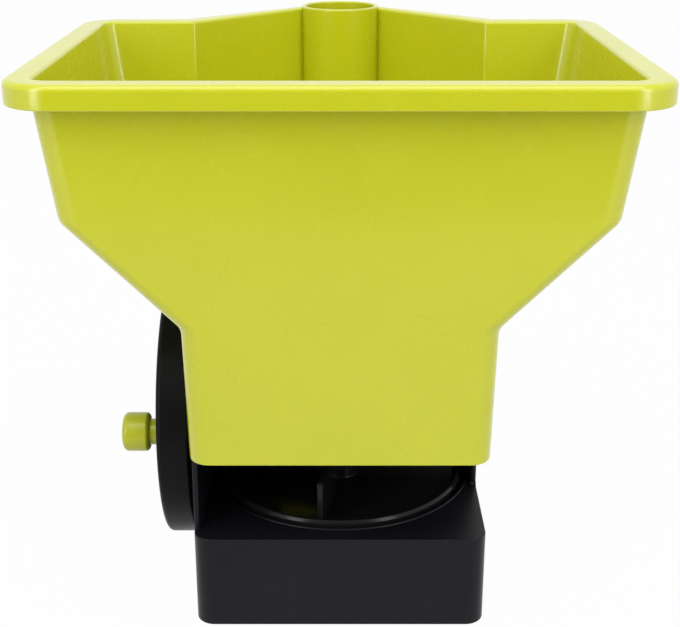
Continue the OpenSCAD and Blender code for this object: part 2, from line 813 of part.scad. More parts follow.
// Teeth inside the wheel's rim
module ring_gear() {
    at_wheel() translate([teeth_x0, 0, 0]) rotate([90, 0, 90]) rotate(-mesh_turn) linear_extrude(gear_face)
        difference() {
            circle(wheel_bore_r + CUT);
            polygon(gear_outline(ring_teeth, ring_r, wheel_root_r, ring_r - tooth_out, -backlash / 2, 2));
        }
}

module crank_wheel() {
    color(BLACK) difference() {
        union() {
            at_wheel() difference() {
                x_rod(2 * wheel_r, wheel_out, wheel_in);
                x_rod(2 * wheel_bore_r, face_in, wheel_in + CUT);
                x_tube(2 * dish_out_r, hub_d + 2 * dish_land, wheel_out - CUT, wheel_out + dish_depth);
            }
            ring_gear();
            at_wheel() x_rod(hub_d, wheel_out, -base_half - face_gap);
            at_wheel() for (k = [0:wheel_ribs - 1]) rotate([k * 360 / wheel_ribs, 0, 0])
                translate([face_in - CUT / 2, -rib_t / 2, 0]) cube([rib_depth + CUT / 2, rib_t, rib_r]);
            at_knob() x_rod(knob_boss_d, wheel_out, knob_pin_in);
        }
        at_wheel() x_rod(axle_d + 2 * run_play, wheel_out - CUT, -base_half);
        at_wheel() x_rod(hub_recess_d, wheel_out - CUT, hub_seat);
        at_knob() x_rod(knob_pin_d + 2 * seat_play, wheel_out - CUT, knob_pin_in + CUT);
    }
}

module hub_cap() {
    color(BLACK) at_wheel() difference() {
        union() {
            x_rod(hub_recess_d + 2 * flange_over, wheel_out - cap_t, wheel_out);
            x_rod(hub_recess_d - 2 * seat_play, wheel_out - CUT / 2, wheel_out + cap_skirt_l);
        }
        x_rod(hub_recess_d - 2 * cap_skirt, cap_in, wheel_out + cap_skirt_l + CUT);
    }
}

module knob_pin() {
    color(STEEL) at_knob() {
        x_rod(knob_pin_d, knob_head_seat - CUT / 2, knob_pin_in);
        x_rod(knob_pin_head_d, knob_head_seat - knob_pin_head_t, knob_head_seat);
    }
}

// Half outline of the knob: distance from its axis against distance from the wheel's face
function knob_outline() =
    let (r = knob_d / 2, n = knob_neck_d / 2, end = knob_neck + knob_len, edge = 2.2, chamfer = 1)
    concat([[0, 0], [n, 0], [n, knob_neck], [r - chamfer, knob_neck], [r, knob_neck + chamfer]],
           arc([r - edge, end - edge], edge, 0, 90, 6), [[0, end]]);

module crank_knob() {
    bore_end = knob_in - knob_head_seat + face_gap;
    color(LIME) at_knob() translate([knob_in, 0, 0]) rotate([0, -90, 0]) difference() {
        rotate_extrude() polygon(knob_outline());
        z_rod(knob_pin_d + 2 * run_play, -CUT, bore_end + CUT);
        z_rod(knob_pin_head_d + 2 * drop_gap, knob_in - knob_head_seat - face_gap, knob_in - knob_out + CUT);
    }
}

module knob_cap() {
    color(LIME) at_knob()
        x_rod(knob_pin_head_d + 2 * drop_gap - 2 * seat_play, knob_out, knob_out + knob_cap_t);
}

// Layshaft

module layshaft() {
    color(STEEL) at_layshaft() x_rod(layshaft_d, teeth_x0, -mitre_r + mitre_face);
}

module spur_pinion() {
    color(NYLON) at_layshaft() difference() {
        union() {
            translate([teeth_x0, 0, 0]) rotate([90, 0, 90]) rotate(-mesh_turn) linear_extrude(gear_face)
                polygon(gear_outline(pinion_teeth, pinion_r, pinion_tip_r, pinion_root_r, backlash / 2, 4));
            x_rod(2 * pinion_root_r, teeth_x0 + gear_face - CUT, -base_half - bush_flange - face_gap);
        }
        x_rod(layshaft_d + 2 * seat_play, teeth_x0 - CUT, -base_half);
    }
}

module bevel_driver() {
    color(NYLON) at_layshaft() translate([-mitre_r, 0, 0]) rotate([90, 0, 90])
        mitre_gear(layshaft_d + 2 * seat_play);
}

module layshaft_clip() {
    start = -base_half + lay_boss_l + face_gap;
    color(STEEL) at_layshaft()
        x_tube(layshaft_d + 2 * clip_w, layshaft_d + 2 * seat_play, start, start + clip_t);
}

module layshaft_bush_outer() {
    color(NYLON) at_layshaft() difference() {
        union() {
            x_rod(lay_bush_d, -base_half - CUT / 2, -base_half + lay_boss_l);
            x_rod(lay_bush_d + 2 * flange_over, -base_half - bush_flange, -base_half);
        }
        x_rod(layshaft_d + 2 * run_play, -base_half - bush_flange - CUT, -base_half + lay_boss_l + CUT);
    }
}

module layshaft_bush_inner() {
    color(NYLON) at_layshaft() difference() {
        union() {
            x_rod(lay_bush_d, bracket_x0, bracket_x1 + CUT / 2);
            x_rod(lay_bush_d + 2 * flange_over, bracket_x1, bracket_x1 + bush_flange);
        }
        x_rod(layshaft_d + 2 * run_play, bracket_x0 - CUT, bracket_x1 + bush_flange + CUT);
    }
}

// Spinner

module spinner_shaft() {
    color(STEEL) z_rod(shaft_d, shaft_foot, shaft_end);
}

module spinner_disc() {
    color(BLACK) difference() {
        union() {
            z_rod(spinner_d, spinner_z, spinner_floor_z);
            z_tube(spinner_d, spinner_d - 2 * spinner_rim_t, spinner_z, spinner_z + spinner_rim_h);
            z_rod(spinner_hub_d, spinner_z, hub_top);
            for (k = [0:vane_n - 1]) rotate([0, 0, vane_angle + k * 360 / vane_n])
                translate([spinner_hub_d / 4, -vane_t / 2, spinner_floor_z - CUT / 2])
                    cube([vane_r - spinner_hub_d / 4, vane_t, vane_h + CUT / 2]);
        }
        z_rod(shaft_d + 2 * seat_play, spinner_z - CUT, hub_top + vane_h);
        z_tube(spinner_hub_d, shaft_d, hub_top, hub_top + vane_h);
    }
}

module spinner_clip() {
    color(STEEL) z_tube(shaft_d + 2 * clip_w, shaft_d + 2 * seat_play, hub_top, hub_top + clip_t);
}

module bevel_driven() {
    color(NYLON) translate([0, 0, mitre_base_z]) rotate([0, 0, 180 / mitre_teeth])
        mitre_gear(shaft_d + 2 * seat_play);
}

module agitator() {
    color(BLACK) difference() {
        union() {
            z_rod(agitator_hub_d, agitator_foot, shaft_end);
            for (side = [0, 180]) rotate([0, 0, side]) translate([0, 0, (agitator_foot + shaft_end) / 2]) {
                x_rod(finger_d, 0, agitator_r);
                translate([agitator_r, 0, 0]) sphere(d = finger_d);
            }
        }
        z_rod(shaft_d + 2 * seat_play, agitator_foot - CUT, shaft_end + CUT);
    }
}

module upper_bush() {
    color(NYLON) difference() {
        union() {
            z_rod(bush_d, well_under, well_top + CUT / 2);
            z_rod(bush_d + 2 * flange_over, well_top, well_top + bush_flange);
        }
        z_rod(shaft_d + 2 * run_play, well_under - CUT, well_top + bush_flange + CUT);
    }
}

module lower_bush() {
    color(NYLON) difference() {
        union() {
            z_rod(bush_d, lower_bush_z, lower_bush_top);
            z_rod(bush_d + 2 * flange_over, lower_bush_top - bush_flange, lower_bush_top);
        }
        z_rod(shaft_d + 2 * run_play, lower_bush_z + bush_end_t, lower_bush_top + CUT);
    }
}

module thrust_washer() {
    color(STEEL) z_tube(mitre_hub_d, shaft_d + 2 * run_play, lower_bush_top, lower_bush_top + thrust_t);
}

hopper();
hopper_screws();
outlet_plate();
deck_bush();
shaft_seal();
flow_gate();
gate_tab();
base_housing();
bottom_cover();
cover_screws();
wheel_axle();
axle_washer();
axle_screw();
crank_wheel();
hub_cap();
knob_pin();
crank_knob();
knob_cap();
layshaft();
spur_pinion();
bevel_driver();
layshaft_clip();
layshaft_bush_outer();
layshaft_bush_inner();
spinner_shaft();
spinner_disc();
spinner_clip();
bevel_driven();
agitator();
upper_bush();
lower_bush();
thrust_washer();
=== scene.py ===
"""Looks of the hand spreader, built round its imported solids.

Lengths are metres in the part's own frame.
"""

import json
import math

import bmesh
import bpy
import numpy as np
from mathutils import Matrix, Vector


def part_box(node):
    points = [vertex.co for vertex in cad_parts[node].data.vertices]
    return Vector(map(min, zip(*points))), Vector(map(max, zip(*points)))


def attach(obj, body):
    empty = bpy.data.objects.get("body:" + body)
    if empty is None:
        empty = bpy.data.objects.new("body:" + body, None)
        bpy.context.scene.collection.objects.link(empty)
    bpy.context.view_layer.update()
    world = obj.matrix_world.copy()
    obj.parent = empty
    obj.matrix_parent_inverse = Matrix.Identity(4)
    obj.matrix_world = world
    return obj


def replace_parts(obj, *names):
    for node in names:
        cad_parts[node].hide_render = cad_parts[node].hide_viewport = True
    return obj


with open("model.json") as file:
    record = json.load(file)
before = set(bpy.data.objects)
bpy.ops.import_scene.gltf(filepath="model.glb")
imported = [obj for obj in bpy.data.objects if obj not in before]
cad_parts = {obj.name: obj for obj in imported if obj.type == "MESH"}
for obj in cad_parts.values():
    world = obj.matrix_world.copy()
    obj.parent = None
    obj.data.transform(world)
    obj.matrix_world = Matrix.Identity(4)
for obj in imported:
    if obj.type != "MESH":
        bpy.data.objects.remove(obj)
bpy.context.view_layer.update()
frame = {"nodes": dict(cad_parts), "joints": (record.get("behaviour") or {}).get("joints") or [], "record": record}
MM = 0.001
CORNER_STEPS = 10
ROUND_TURN = 128
SMOOTH_ANGLE = math.radians(33)
NORMAL_WEIGHT = 80

# Places and sizes taken from the solids
HOPPER_LO, HOPPER_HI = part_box("hopper")
BASE_LO, BASE_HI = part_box("base_housing")
DISC_LO, DISC_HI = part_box("spinner_disc")
WHEEL_LO, WHEEL_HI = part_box("crank_wheel")
KNOB_LO, KNOB_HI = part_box("crank_knob")
_, PIN_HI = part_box("knob_pin")
CAP_LO, CAP_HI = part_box("hub_cap")
GATE_LO, GATE_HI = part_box("flow_gate")
TAB_LO, TAB_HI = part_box("gate_tab")
AGITATOR_LO, AGITATOR_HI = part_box("agitator")
_, SHAFT_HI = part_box("spinner_shaft")
PINION_LO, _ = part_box("spur_pinion")
RECORD = frame["record"]
GRIP = {m["name"]: m for m in RECORD["mounts"]}["grip_bore"]
JOINT_PLACE = {j["name"]: j.get("pos_m") for j in frame["joints"]}
WHEEL_AXIS = (0, *JOINT_PLACE["crank_turn"][1:])
LAYSHAFT_AXIS = (0, 0, JOINT_PLACE["layshaft_spin"][2])
KNOB_AXIS = (0, *JOINT_PLACE["knob_spin"][1:])

# Clearances, the overlap of joined or cut shapes, and the rounding of a plain edge
SEAT_PLAY = 0.02 * MM
RUN_PLAY = 0.05 * MM
FACE_GAP = 0.3 * MM
CUT = 1 * MM
EDGE = 0.4 * MM

# Hopper
WALL = 2.4 * MM
WALL_TOP = HOPPER_LO.z
RIM_HALF = HOPPER_HI.x
RIM_FRONT = -HOPPER_LO.y
RIM_REAR = 96.5 * MM
RIM_OVER = 9 * MM
RIM_SKIRT = 9.5 * MM
RIM_ROUND = 2.6 * MM
RIM_INNER_ROUND = 1.5 * MM
RIM_FOOT_ROUND = 0.6 * MM
RIM_CORNER = 20 * MM
RIM_BAY_OUT = 4.7 * MM
RIM_TIP_OUT = 3 * MM
GRIP_TOP = HOPPER_HI.z
GRIP_RISE = 0.8 * MM
RIM_Z = GRIP_TOP - GRIP_RISE
NECK_H = 59.4 * MM
NECK_Z = WALL_TOP + NECK_H
SLOPE_H = 45 * MM
BEND_Z = NECK_Z + SLOPE_H
BEND_HALF = 108.9 * MM
BEND_TANGENT = 2.4 * MM
CREASE_TANGENT = 3 * MM
WALL_HALF = RIM_HALF - RIM_OVER
NECK_INSET = 0.1 * MM
NECK_FOOT = BASE_HI.x - NECK_INSET
NECK_DRAFT = 1 * MM
NECK_HALF = NECK_FOOT + NECK_DRAFT
NECK_LIP = 4.3 * MM
NECK_FRONT = -BASE_LO.y + NECK_LIP
NECK_REAR_INSET = 2 * MM
NECK_REAR = BASE_HI.y - NECK_REAR_INSET
NECK_FOOT_ROUND = 0.7 * MM
FLOOR_RISE = 8 * MM
FLOOR_TOP = WALL_TOP + FLOOR_RISE
FLOOR_UNDER = FLOOR_TOP - WALL
PLATE_T = 2.6 * MM
PLATE_TOP = WALL_TOP + PLATE_T
FRONT_CORNER = 9.5 * MM
REAR_CORNER = 9 * MM
NECK_CORNER = 9 * MM
BAY_HALF = 72 * MM
BAY_NECK_HALF = 39.6 * MM
BAY_ROUND = 1.2 * MM
TIP_ROUND = 2 * MM
BAY_CORNERS = range(3, 7)
PORT_SIDE = 17.4 * MM
GATE_OVER = 1 * MM

# Grip tube
GRIP_Y = GRIP["pos_m"][1]
GRIP_BORE_R = GRIP["dims"]["r_mm"] * MM
GRIP_BORE_L = GRIP["dims"]["length_mm"] * MM
GRIP_R = HOPPER_HI.y - GRIP_Y
GRIP_FOOT = GRIP_TOP - GRIP_BORE_L - WALL
GRIP_END_ROUND = 7 * MM
GRIP_LIP_ROUND = 0.9 * MM
BAY_TIP = (GRIP_R + GRIP_BORE_R) / 2

# Base housing
DECK_Z = 42.48 * MM
DECK_T = 2.6 * MM
BASE_WALL = 2.6 * MM
BASE_CORNER = 8 * MM
BASE_EDGE = 0.5 * MM
WELL_R = 59 * MM
WELL_TOP = 36.38 * MM
WELL_UNDER = 34.18 * MM
WELL_CUT_TOP = 45.68 * MM
WELL_LIP = 0.9 * MM
WELL_LIP_CUT = 0.1 * MM
WELL_BEAD_R = 0.6 * MM
SIDE_WALL = 2.5 * MM
SIDE_WALL_IN = BASE_HI.x - SIDE_WALL
REAR_WALL = 4 * MM
REAR_WALL_IN = BASE_HI.y - REAR_WALL
LEFT_WALL_FRONT = 61 * MM
RIGHT_WALL_FRONT = 19 * MM
WALL_EDGE = 0.5 * MM
WALL_END_ROUND = 0.9 * MM
WALL_INNER_ROUND = 3 * MM
WALL_FOOT_ROUND = 1.5 * MM
SCREW_BOSS_R = 4 * MM
WALL_BOSS_H = 16 * MM
BUSH_SEAT_R = 4.57 * MM
AXLE_R = 4 * MM
AXLE_BOSS_R = 6.5 * MM
AXLE_BOSS_L = 9.3 * MM
LAY_BOSS_R = 7.55 * MM
LAY_BOSS_L = 12 * MM
BRACKET_X = (-24 * MM, -17 * MM)
SCREW_HOLE_R = 1.62 * MM
HOPPER_HOLE_L = 18 * MM
COVER_HOLE_TOP = 14.9 * MM
COVER_T = 3 * MM

# Spinner
SPINNER_R = 57.5 * MM
SPINNER_T = 2.2 * MM
SPINNER_FLOOR = DISC_LO.z + SPINNER_T
SPINNER_RIM_T = 2.2 * MM
SPINNER_RIM_H = 7 * MM
SPINNER_RIM_TOP = DISC_LO.z + SPINNER_RIM_H
SPINNER_BEVEL = (0.9 * MM, 1.4 * MM)
SPINNER_BEVEL_ROUND = 0.3 * MM
SPINNER_RIM_ROUND = 0.4 * MM
SPINNER_FOOT_ROUND = 0.7 * MM
SPINNER_FLOOR_ROUND = 1.4 * MM
SPINNER_HUB_R = 9 * MM
SPINNER_HUB_H = 12 * MM
SPINNER_HUB_TOP = SPINNER_FLOOR + SPINNER_HUB_H
SPINNER_HUB_DRAFT = 0.3 * MM
SPINNER_HUB_ROUND = 0.6 * MM
SPINNER_HUB_FOOT_ROUND = 1.2 * MM
SHAFT_R = SHAFT_HI.x
VANE_T = 2.7 * MM
VANE_END = 53.5 * MM
VANE_COUNT = 4
VANE_ANGLE = -99.5
VANE_ROUND = 1.3 * MM
VANE_EDGE = 0.5 * MM
AGITATOR_HUB_R = 6.5 * MM
AGITATOR_FOOT_ROUND = 0.6 * MM
AGITATOR_TOP_ROUND = 1 * MM
FINGER_R = 2 * MM

# Crank wheel
WHEEL_OUT = -WHEEL_LO.x
WHEEL_GAP = 1.9 * MM
WHEEL_IN = -BASE_LO.x + WHEEL_GAP
WHEEL_FACE_T = 2.6 * MM
WHEEL_FACE = WHEEL_OUT - WHEEL_FACE_T
GEAR_M = 1.25 * MM
RING_TEETH = 90
RING_R = GEAR_M * RING_TEETH / 2
MESH_TURN = math.atan2(WHEEL_AXIS[1], WHEEL_AXIS[2] - LAYSHAFT_AXIS[2])
TOOTH_OUT = 0.8 * GEAR_M
TOOTH_IN = 1.15 * GEAR_M
RING_TIP_R = RING_R - TOOTH_OUT
RING_ROOT_R = RING_R + TOOTH_IN
PRESSURE = math.radians(24)
BACKLASH = 0.5 * MM
GEAR_FACE = 6 * MM
TEETH_OUT = -PINION_LO.x
TEETH_IN = TEETH_OUT - GEAR_FACE
WHEEL_RIM = 3.4 * MM
WHEEL_R = RING_ROOT_R + WHEEL_RIM
RING_BAND = 0.4 * MM
WHEEL_BORE_R = RING_ROOT_R + RING_BAND
WHEEL_OUT_ROUND = 2.2 * MM
WHEEL_IN_ROUND = 1.4 * MM
WHEEL_BORE_ROUND = 1 * MM
WHEEL_STEPS = 180
HUB_R = 12.5 * MM
HUB_END = -WHEEL_HI.x
HUB_FOOT_ROUND = 1.5 * MM
HUB_RECESS_R = 9.5 * MM
HUB_RECESS = 3.6 * MM
HUB_SEAT = WHEEL_OUT - HUB_RECESS
CAP_SKIRT_T = 1.2 * MM
CAP_ROUND = 1 * MM
DISH_DEPTH = 1 * MM
DISH_FLOOR = WHEEL_OUT - DISH_DEPTH
DISH_IN_LAND = 3 * MM
DISH_IN_R = HUB_R + DISH_IN_LAND
DISH_OUT_LAND = 6 * MM
DISH_OUT_R = WHEEL_R - DISH_OUT_LAND
RIB_COUNT = 6
RIB_T = 2 * MM
RIB_END = 40.75 * MM
RIB_DEPTH = 5 * MM

# Knob
KNOB_BOSS_R = 7.5 * MM
KNOB_BOSS_IN = -PIN_HI.x
KNOB_IN = -KNOB_HI.x
KNOB_OUT = -KNOB_LO.x
KNOB_R = (KNOB_HI.y - KNOB_LO.y) / 2
KNOB_NECK_R = 5.7 * MM
KNOB_NECK = 4 * MM
KNOB_NECK_ROUND = 0.8 * MM
KNOB_ROUND = 2.4 * MM
KNOB_CHAMFER = 1 * MM
KNOB_SEAT = 10.7 * MM
KNOB_PIN_R = 2.5 * MM
KNOB_CAP_R = 4.5 * MM
KNOB_CAP_T = 2 * MM
KNOB_CAP_ROUND = 0.5 * MM
KNOB_MOUTH_ROUND = 0.3 * MM

# Flow gate
GATE_CORNER = 2 * MM
GATE_EDGE = 0.3 * MM
TAB_CORNER = 4 * MM
TAB_EDGE = 1.3 * MM
TAB_GROOVES = 4
TAB_GROOVE_R = 1 * MM
TAB_GROOVE_STEP = 3.6 * MM

# Screws
SCREW_R = 1.6 * MM
SCREW_TIP_INSET = 0.5 * MM
SCREW_TIP_L = 1.5 * MM
SCREW_HEAD_R = 3.2 * MM
SCREW_HEAD_H = 1.6 * MM
SCREW_DOME = 1.1 * MM
CROSS_W = 0.9 * MM
CROSS_L = 3.6 * MM
CROSS_DEPTH = 0.9 * MM


# Plane geometry

def polar(centre, r, angle):
    return np.array(centre) + r * np.array([math.cos(angle), math.sin(angle)])


def arc(centre, r, start, end, steps=CORNER_STEPS):
    """Points of a circular arc; the angles are degrees."""
    return [polar(centre, r, math.radians(a)) for a in np.linspace(start, end, steps + 1)]


def unit(v):
    return v / np.linalg.norm(v)


def corner(a, p, b, t, steps=CORNER_STEPS):
    """A circular arc that leaves the corner p by the length t on both sides."""
    a, p, b = (np.array(v, float) for v in (a, p, b))
    p0, p2 = p + unit(a - p) * t, p + unit(b - p) * t
    w = math.sqrt((1 + unit(p - a) @ unit(b - p)) / 2)
    points = []
    for s in np.linspace(0, 1, steps + 1):
        u = 1 - s
        points.append((u * u * p0 + 2 * u * s * w * p + s * s * p2) / (u * u + 2 * u * s * w + s * s))
    return points


def rounded(points, tangents, steps=CORNER_STEPS):
    n = len(points)
    outline = []
    for i, t in enumerate(tangents):
        outline += corner(points[i - 1], points[i], points[(i + 1) % n], t, steps)
    return outline


def rounded_rect(x0, x1, y0, y1, r, steps=CORNER_STEPS):
    return rounded([(x0, y0), (x1, y0), (x1, y1), (x0, y1)], [r] * 4, steps)


def rounded_path(points, steps=4):
    """A path of (r, h) or (r, h, tangent) points; the ones with a tangent are rounded."""
    path = []
    for i, p in enumerate(points):
        if len(p) == 2:
            path.append(np.array(p))
        else:
            path += corner(points[i - 1][:2], p[:2], points[(i + 1) % len(points)][:2], p[2], steps)
    return path


def grown(points, d):
    """Every edge of a counter-clockwise outline moved out by d."""
    points = [np.array(p, float) for p in points]
    n = len(points)
    moved = []
    for i, p in enumerate(points):
        e1, e2 = unit(p - points[i - 1]), unit(points[(i + 1) % n] - p)
        n1, n2 = np.array([e1[1], -e1[0]]), np.array([e2[1], -e2[0]])
        moved.append(p + d * (n1 + n2) / (1 + n1 @ n2))
    return moved


def grown_round(outline, d):
    """A smooth outline moved out by d along its own normals."""
    points = np.array(outline, float)
    along = np.roll(points, -1, 0) - np.roll(points, 1, 0)
    normals = np.stack([along[:, 1], -along[:, 0]], 1) / np.linalg.norm(along, axis=1)[:, None]
    return points + d * normals


def lerp(a, b, s):
    return a + (b - a) * s


def flat_ring(outline, z):
    return [(p[0], p[1], z) for p in outline]


# Meshes

def piece(name, verts, faces):
    mesh = bpy.data.meshes.new(name)
    mesh.from_pydata([tuple(float(c) for c in v) for v in verts], [], faces)
    build = bmesh.new()
    build.from_mesh(mesh)
    bmesh.ops.recalc_face_normals(build, faces=build.faces)
    build.to_mesh(mesh)
    build.free()
    obj = bpy.data.objects.new(name, mesh)
    bpy.context.scene.collection.objects.link(obj)
    return obj


def loft(name, rings):
    """A closed solid skinned over rings of equal length, with a cap on its first and last ring."""
    n = len(rings[0])
    verts = [v for r in rings for v in r]
    faces = [(j * n + i, j * n + (i + 1) % n, (j + 1) * n + (i + 1) % n, (j + 1) * n + i)
             for j in range(len(rings) - 1) for i in range(n)]
    last = (len(rings) - 1) * n
    return piece(name, verts, faces + [tuple(range(n)), tuple(range(last, last + n))])


def upright(p):
    return p


def along_x(p):
    return (p[2], p[0], p[1])


def along_y(p):
    return (p[0], p[2], p[1])


def prism(name, outline, low, high, edge=0, place=upright, steps=3):
    """An extruded outline whose two end edges are rounded; place maps (u, v, w) into the frame."""
    turn = arc((0, 0), edge, 0, 90, steps) if edge else [np.zeros(2)]
    lower = [(grown_round(outline, p[0] - edge), low + edge - p[1]) for p in turn[::-1]]
    upper = [(grown_round(outline, p[0] - edge), high - edge + p[1]) for p in turn]
    return loft(name, [[place((p[0], p[1], w)) for p in points] for points, w in lower + upper])


def lathe(name, profile, centre=(0, 0, 0), axis="Z", steps=ROUND_TURN, closed=False):
    """A profile of (radius, height) points turned about an axis; a closed profile makes a ring."""
    verts, rows = [], []
    for r, h in profile:
        row = []
        for k in range(steps if r > 1e-9 else 1):
            a = 2 * math.pi * k / steps
            u, v = r * math.cos(a), r * math.sin(a)
            local = {"Z": (u, v, h), "X": (h, u, v), "-X": (-h, u, v)}[axis]
            row.append(len(verts))
            verts.append(tuple(c + d for c, d in zip(centre, local)))
        rows.append(row)
    faces = []
    pairs = list(zip(rows, rows[1:])) + ([(rows[-1], rows[0])] if closed else [])
    for lower, upper in pairs:
        for k in range(steps):
            ring = [lower[k % len(lower)], lower[(k + 1) % len(lower)],
                    upper[(k + 1) % len(upper)], upper[k % len(upper)]]
            face = tuple(dict.fromkeys(ring))
            if len(face) > 2:
                faces.append(face)
    return piece(name, verts, faces)


def box(name, low, high):
    outline = [(low[0], low[1]), (high[0], low[1]), (high[0], high[1]), (low[0], high[1])]
    return loft(name, [flat_ring(outline, low[2]), flat_ring(outline, high[2])])


def rod(name, r, low, high, centre=(0, 0, 0), axis="Z", steps=48):
    return lathe(name, [(0, low), (r, low), (r, high), (0, high)], centre, axis, steps)


def turned(obj, degrees, axis, centre=(0, 0, 0)):
    """Turns a mesh about an axis through centre."""
    there = Matrix.Translation(centre)
    obj.data.transform(there @ Matrix.Rotation(math.radians(degrees), 4, axis) @ there.inverted())
    return obj


def combine(obj, operation, *tools):
    """Joins tools to obj or cuts them from it; the tools are used up."""
    for tool in tools:
        mod = obj.modifiers.new("combine", "BOOLEAN")
        mod.operation = operation
        mod.solver = "MANIFOLD"
        mod.object = tool
        shape = obj.evaluated_get(bpy.context.evaluated_depsgraph_get())
        mesh = bpy.data.meshes.new_from_object(shape)
        obj.modifiers.clear()
        obj.data = mesh
        bpy.data.objects.remove(tool)
    return obj


def joined(name, objs):
    """One object that holds the meshes of several, which are used up."""
    build = bmesh.new()
    for obj in objs:
        build.from_mesh(obj.data)
        bpy.data.objects.remove(obj)
    mesh = bpy.data.meshes.new(name)
    build.to_mesh(mesh)
    build.free()
    whole = bpy.data.objects.new(name, mesh)
    bpy.context.scene.collection.objects.link(whole)
    return whole


def dress(obj, body, material, slot, *nodes):
    """Smooths a piece, gives it its material and sets it on its body in place of the named solids."""
    obj.data.materials.clear()
    obj.data.materials.append(material)
    obj.data.shade_smooth()
    obj.data.set_sharp_from_angle(angle=SMOOTH_ANGLE)
    weighted = obj.modifiers.new("even_normals", "WEIGHTED_NORMAL")
    weighted.keep_sharp = True
    weighted.weight = NORMAL_WEIGHT
    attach(obj, body)
    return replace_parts(obj, *nodes)


# Materials

TONE_SCALE = 22
SPECK_SCALE = 1500
SPECK_SHARE = 0.55
GLOSS_SCALE = 60
GRAIN_STRENGTH = 0.35
COAT_ROUGH = 0.1
STEEL_ROUGH = (0.22, 0.42)
LINE_STRENGTH = 0.2
LINE_DEPTH = 0.02 * MM
GLOW_COLOUR = (1, 1, 0.3)


def new_material(name):
    material = bpy.data.materials.new(name)
    material.use_nodes = True
    tree = material.node_tree
    shader = tree.nodes["Principled BSDF"]
    place = tree.nodes.new("ShaderNodeTexCoord")
    return material, tree, shader, place.outputs["Object"]


def noise(tree, place, scale, detail=2.0, stretch=None):
    if stretch:
        mapping = tree.nodes.new("ShaderNodeMapping")
        mapping.inputs["Scale"].default_value = stretch
        tree.links.new(place, mapping.inputs["Vector"])
        place = mapping.outputs["Vector"]
    node = tree.nodes.new("ShaderNodeTexNoise")
    node.inputs["Scale"].default_value = scale
    node.inputs["Detail"].default_value = detail
    tree.links.new(place, node.inputs["Vector"])
    return node.outputs["Fac"]


def ramp(tree, value, low, high, out_low, out_high):
    node = tree.nodes.new("ShaderNodeMapRange")
    for key, number in (("From Min", low), ("From Max", high), ("To Min", out_low), ("To Max", out_high)):
        node.inputs[key].default_value = number
    tree.links.new(value, node.inputs["Value"])
    return node.outputs["Result"]


def mixed(tree, factor, first, second):
    """Mixes two colours; each is a colour or the output of another node."""
    node = tree.nodes.new("ShaderNodeMix")
    node.data_type = "RGBA"
    for socket, colour in ((node.inputs["A"], first), (node.inputs["B"], second)):
        if isinstance(colour, bpy.types.NodeSocket):
            tree.links.new(colour, socket)
        else:
            socket.default_value = (*colour, 1)
    tree.links.new(factor, node.inputs["Factor"])
    return node.outputs["Result"]


def bump(tree, shader, height, strength, depth):
    node = tree.nodes.new("ShaderNodeBump")
    node.inputs["Strength"].default_value = strength
    node.inputs["Distance"].default_value = depth
    tree.links.new(height, node.inputs["Height"])
    tree.links.new(node.outputs["Normal"], shader.inputs["Normal"])


def moulded_plastic(name, tones, rough, grain, grain_depth, specular=0.5, gloss=0):
    """Moulded plastic: a slow change between two tones, fine specks, uneven gloss and a fine grain.

    tones are the light tone, the dark tone and the specks' colour; rough is the range of roughness.
    """
    light, dark, speck = tones
    material, tree, shader, place = new_material(name)
    tone = mixed(tree, ramp(tree, noise(tree, place, TONE_SCALE, 3), 0.35, 0.65, 0, 1), light, dark)
    specks = ramp(tree, noise(tree, place, SPECK_SCALE, 1), 0.66, 0.74, 0, SPECK_SHARE)
    tree.links.new(mixed(tree, specks, tone, speck), shader.inputs["Base Color"])
    uneven = ramp(tree, noise(tree, place, GLOSS_SCALE, 4), 0.3, 0.7, *rough)
    tree.links.new(uneven, shader.inputs["Roughness"])
    shader.inputs["Specular IOR Level"].default_value = specular
    shader.inputs["Coat Weight"].default_value = gloss
    shader.inputs["Coat Roughness"].default_value = COAT_ROUGH
    bump(tree, shader, noise(tree, place, grain, 2), GRAIN_STRENGTH, grain_depth)
    return material


def let_light_through(material, depth):
    """Light spreads this far inside the plastic, so a thin piece glows on its dark side."""
    shader = material.node_tree.nodes["Principled BSDF"]
    shader.inputs["Subsurface Weight"].default_value = 1
    shader.inputs["Subsurface Radius"].default_value = GLOW_COLOUR
    shader.inputs["Subsurface Scale"].default_value = depth


def brushed_steel(name, stretch, dark, light):
    material, tree, shader, place = new_material(name)
    lines = noise(tree, place, 1, 3, stretch)
    tree.links.new(mixed(tree, lines, dark, light), shader.inputs["Base Color"])
    tree.links.new(ramp(tree, lines, 0.3, 0.7, *STEEL_ROUGH), shader.inputs["Roughness"])
    shader.inputs["Metallic"].default_value = 1
    bump(tree, shader, lines, LINE_STRENGTH, LINE_DEPTH)
    return material


LIME_TONES = (0.562, 0.580, 0.010), (0.545, 0.562, 0.008), (0.64, 0.65, 0.06)
# Painted shade: the knob is the same lime plastic as the hopper, and these darker tones stand for the shade it
# sits in.
KNOB_SHADED_TONES = (0.445, 0.472, 0.013), (0.43, 0.456, 0.011), (0.49, 0.51, 0.05)
BLACK_TONES = (0.0070, 0.0062, 0.0098), (0.0056, 0.0049, 0.0078), (0.02, 0.02, 0.021)
WHEEL_TONES = (0.0060, 0.0058, 0.0068), (0.0048, 0.0047, 0.0055), (0.015, 0.015, 0.016)
# Painted light: the spinner is the same black plastic as the housing, and these lighter tones stand for light
# reaching into its well.
SPINNER_PAINTED_LIGHT_TONES = (0.012, 0.012, 0.0118), (0.010, 0.010, 0.0098), (0.016, 0.016, 0.016)
NYLON_TONES = (0.66, 0.64, 0.57), (0.60, 0.58, 0.51), (0.72, 0.70, 0.64)
RUBBER_TONES = (0.016, 0.016, 0.016), (0.012, 0.012, 0.012), (0.03, 0.03, 0.03)
GATE_GLOW_DEPTH = 16 * MM
LIME = moulded_plastic("lime_plastic", LIME_TONES, (0.22, 0.30), 900, 0.015 * MM,
                       specular=0.55, gloss=0.35)
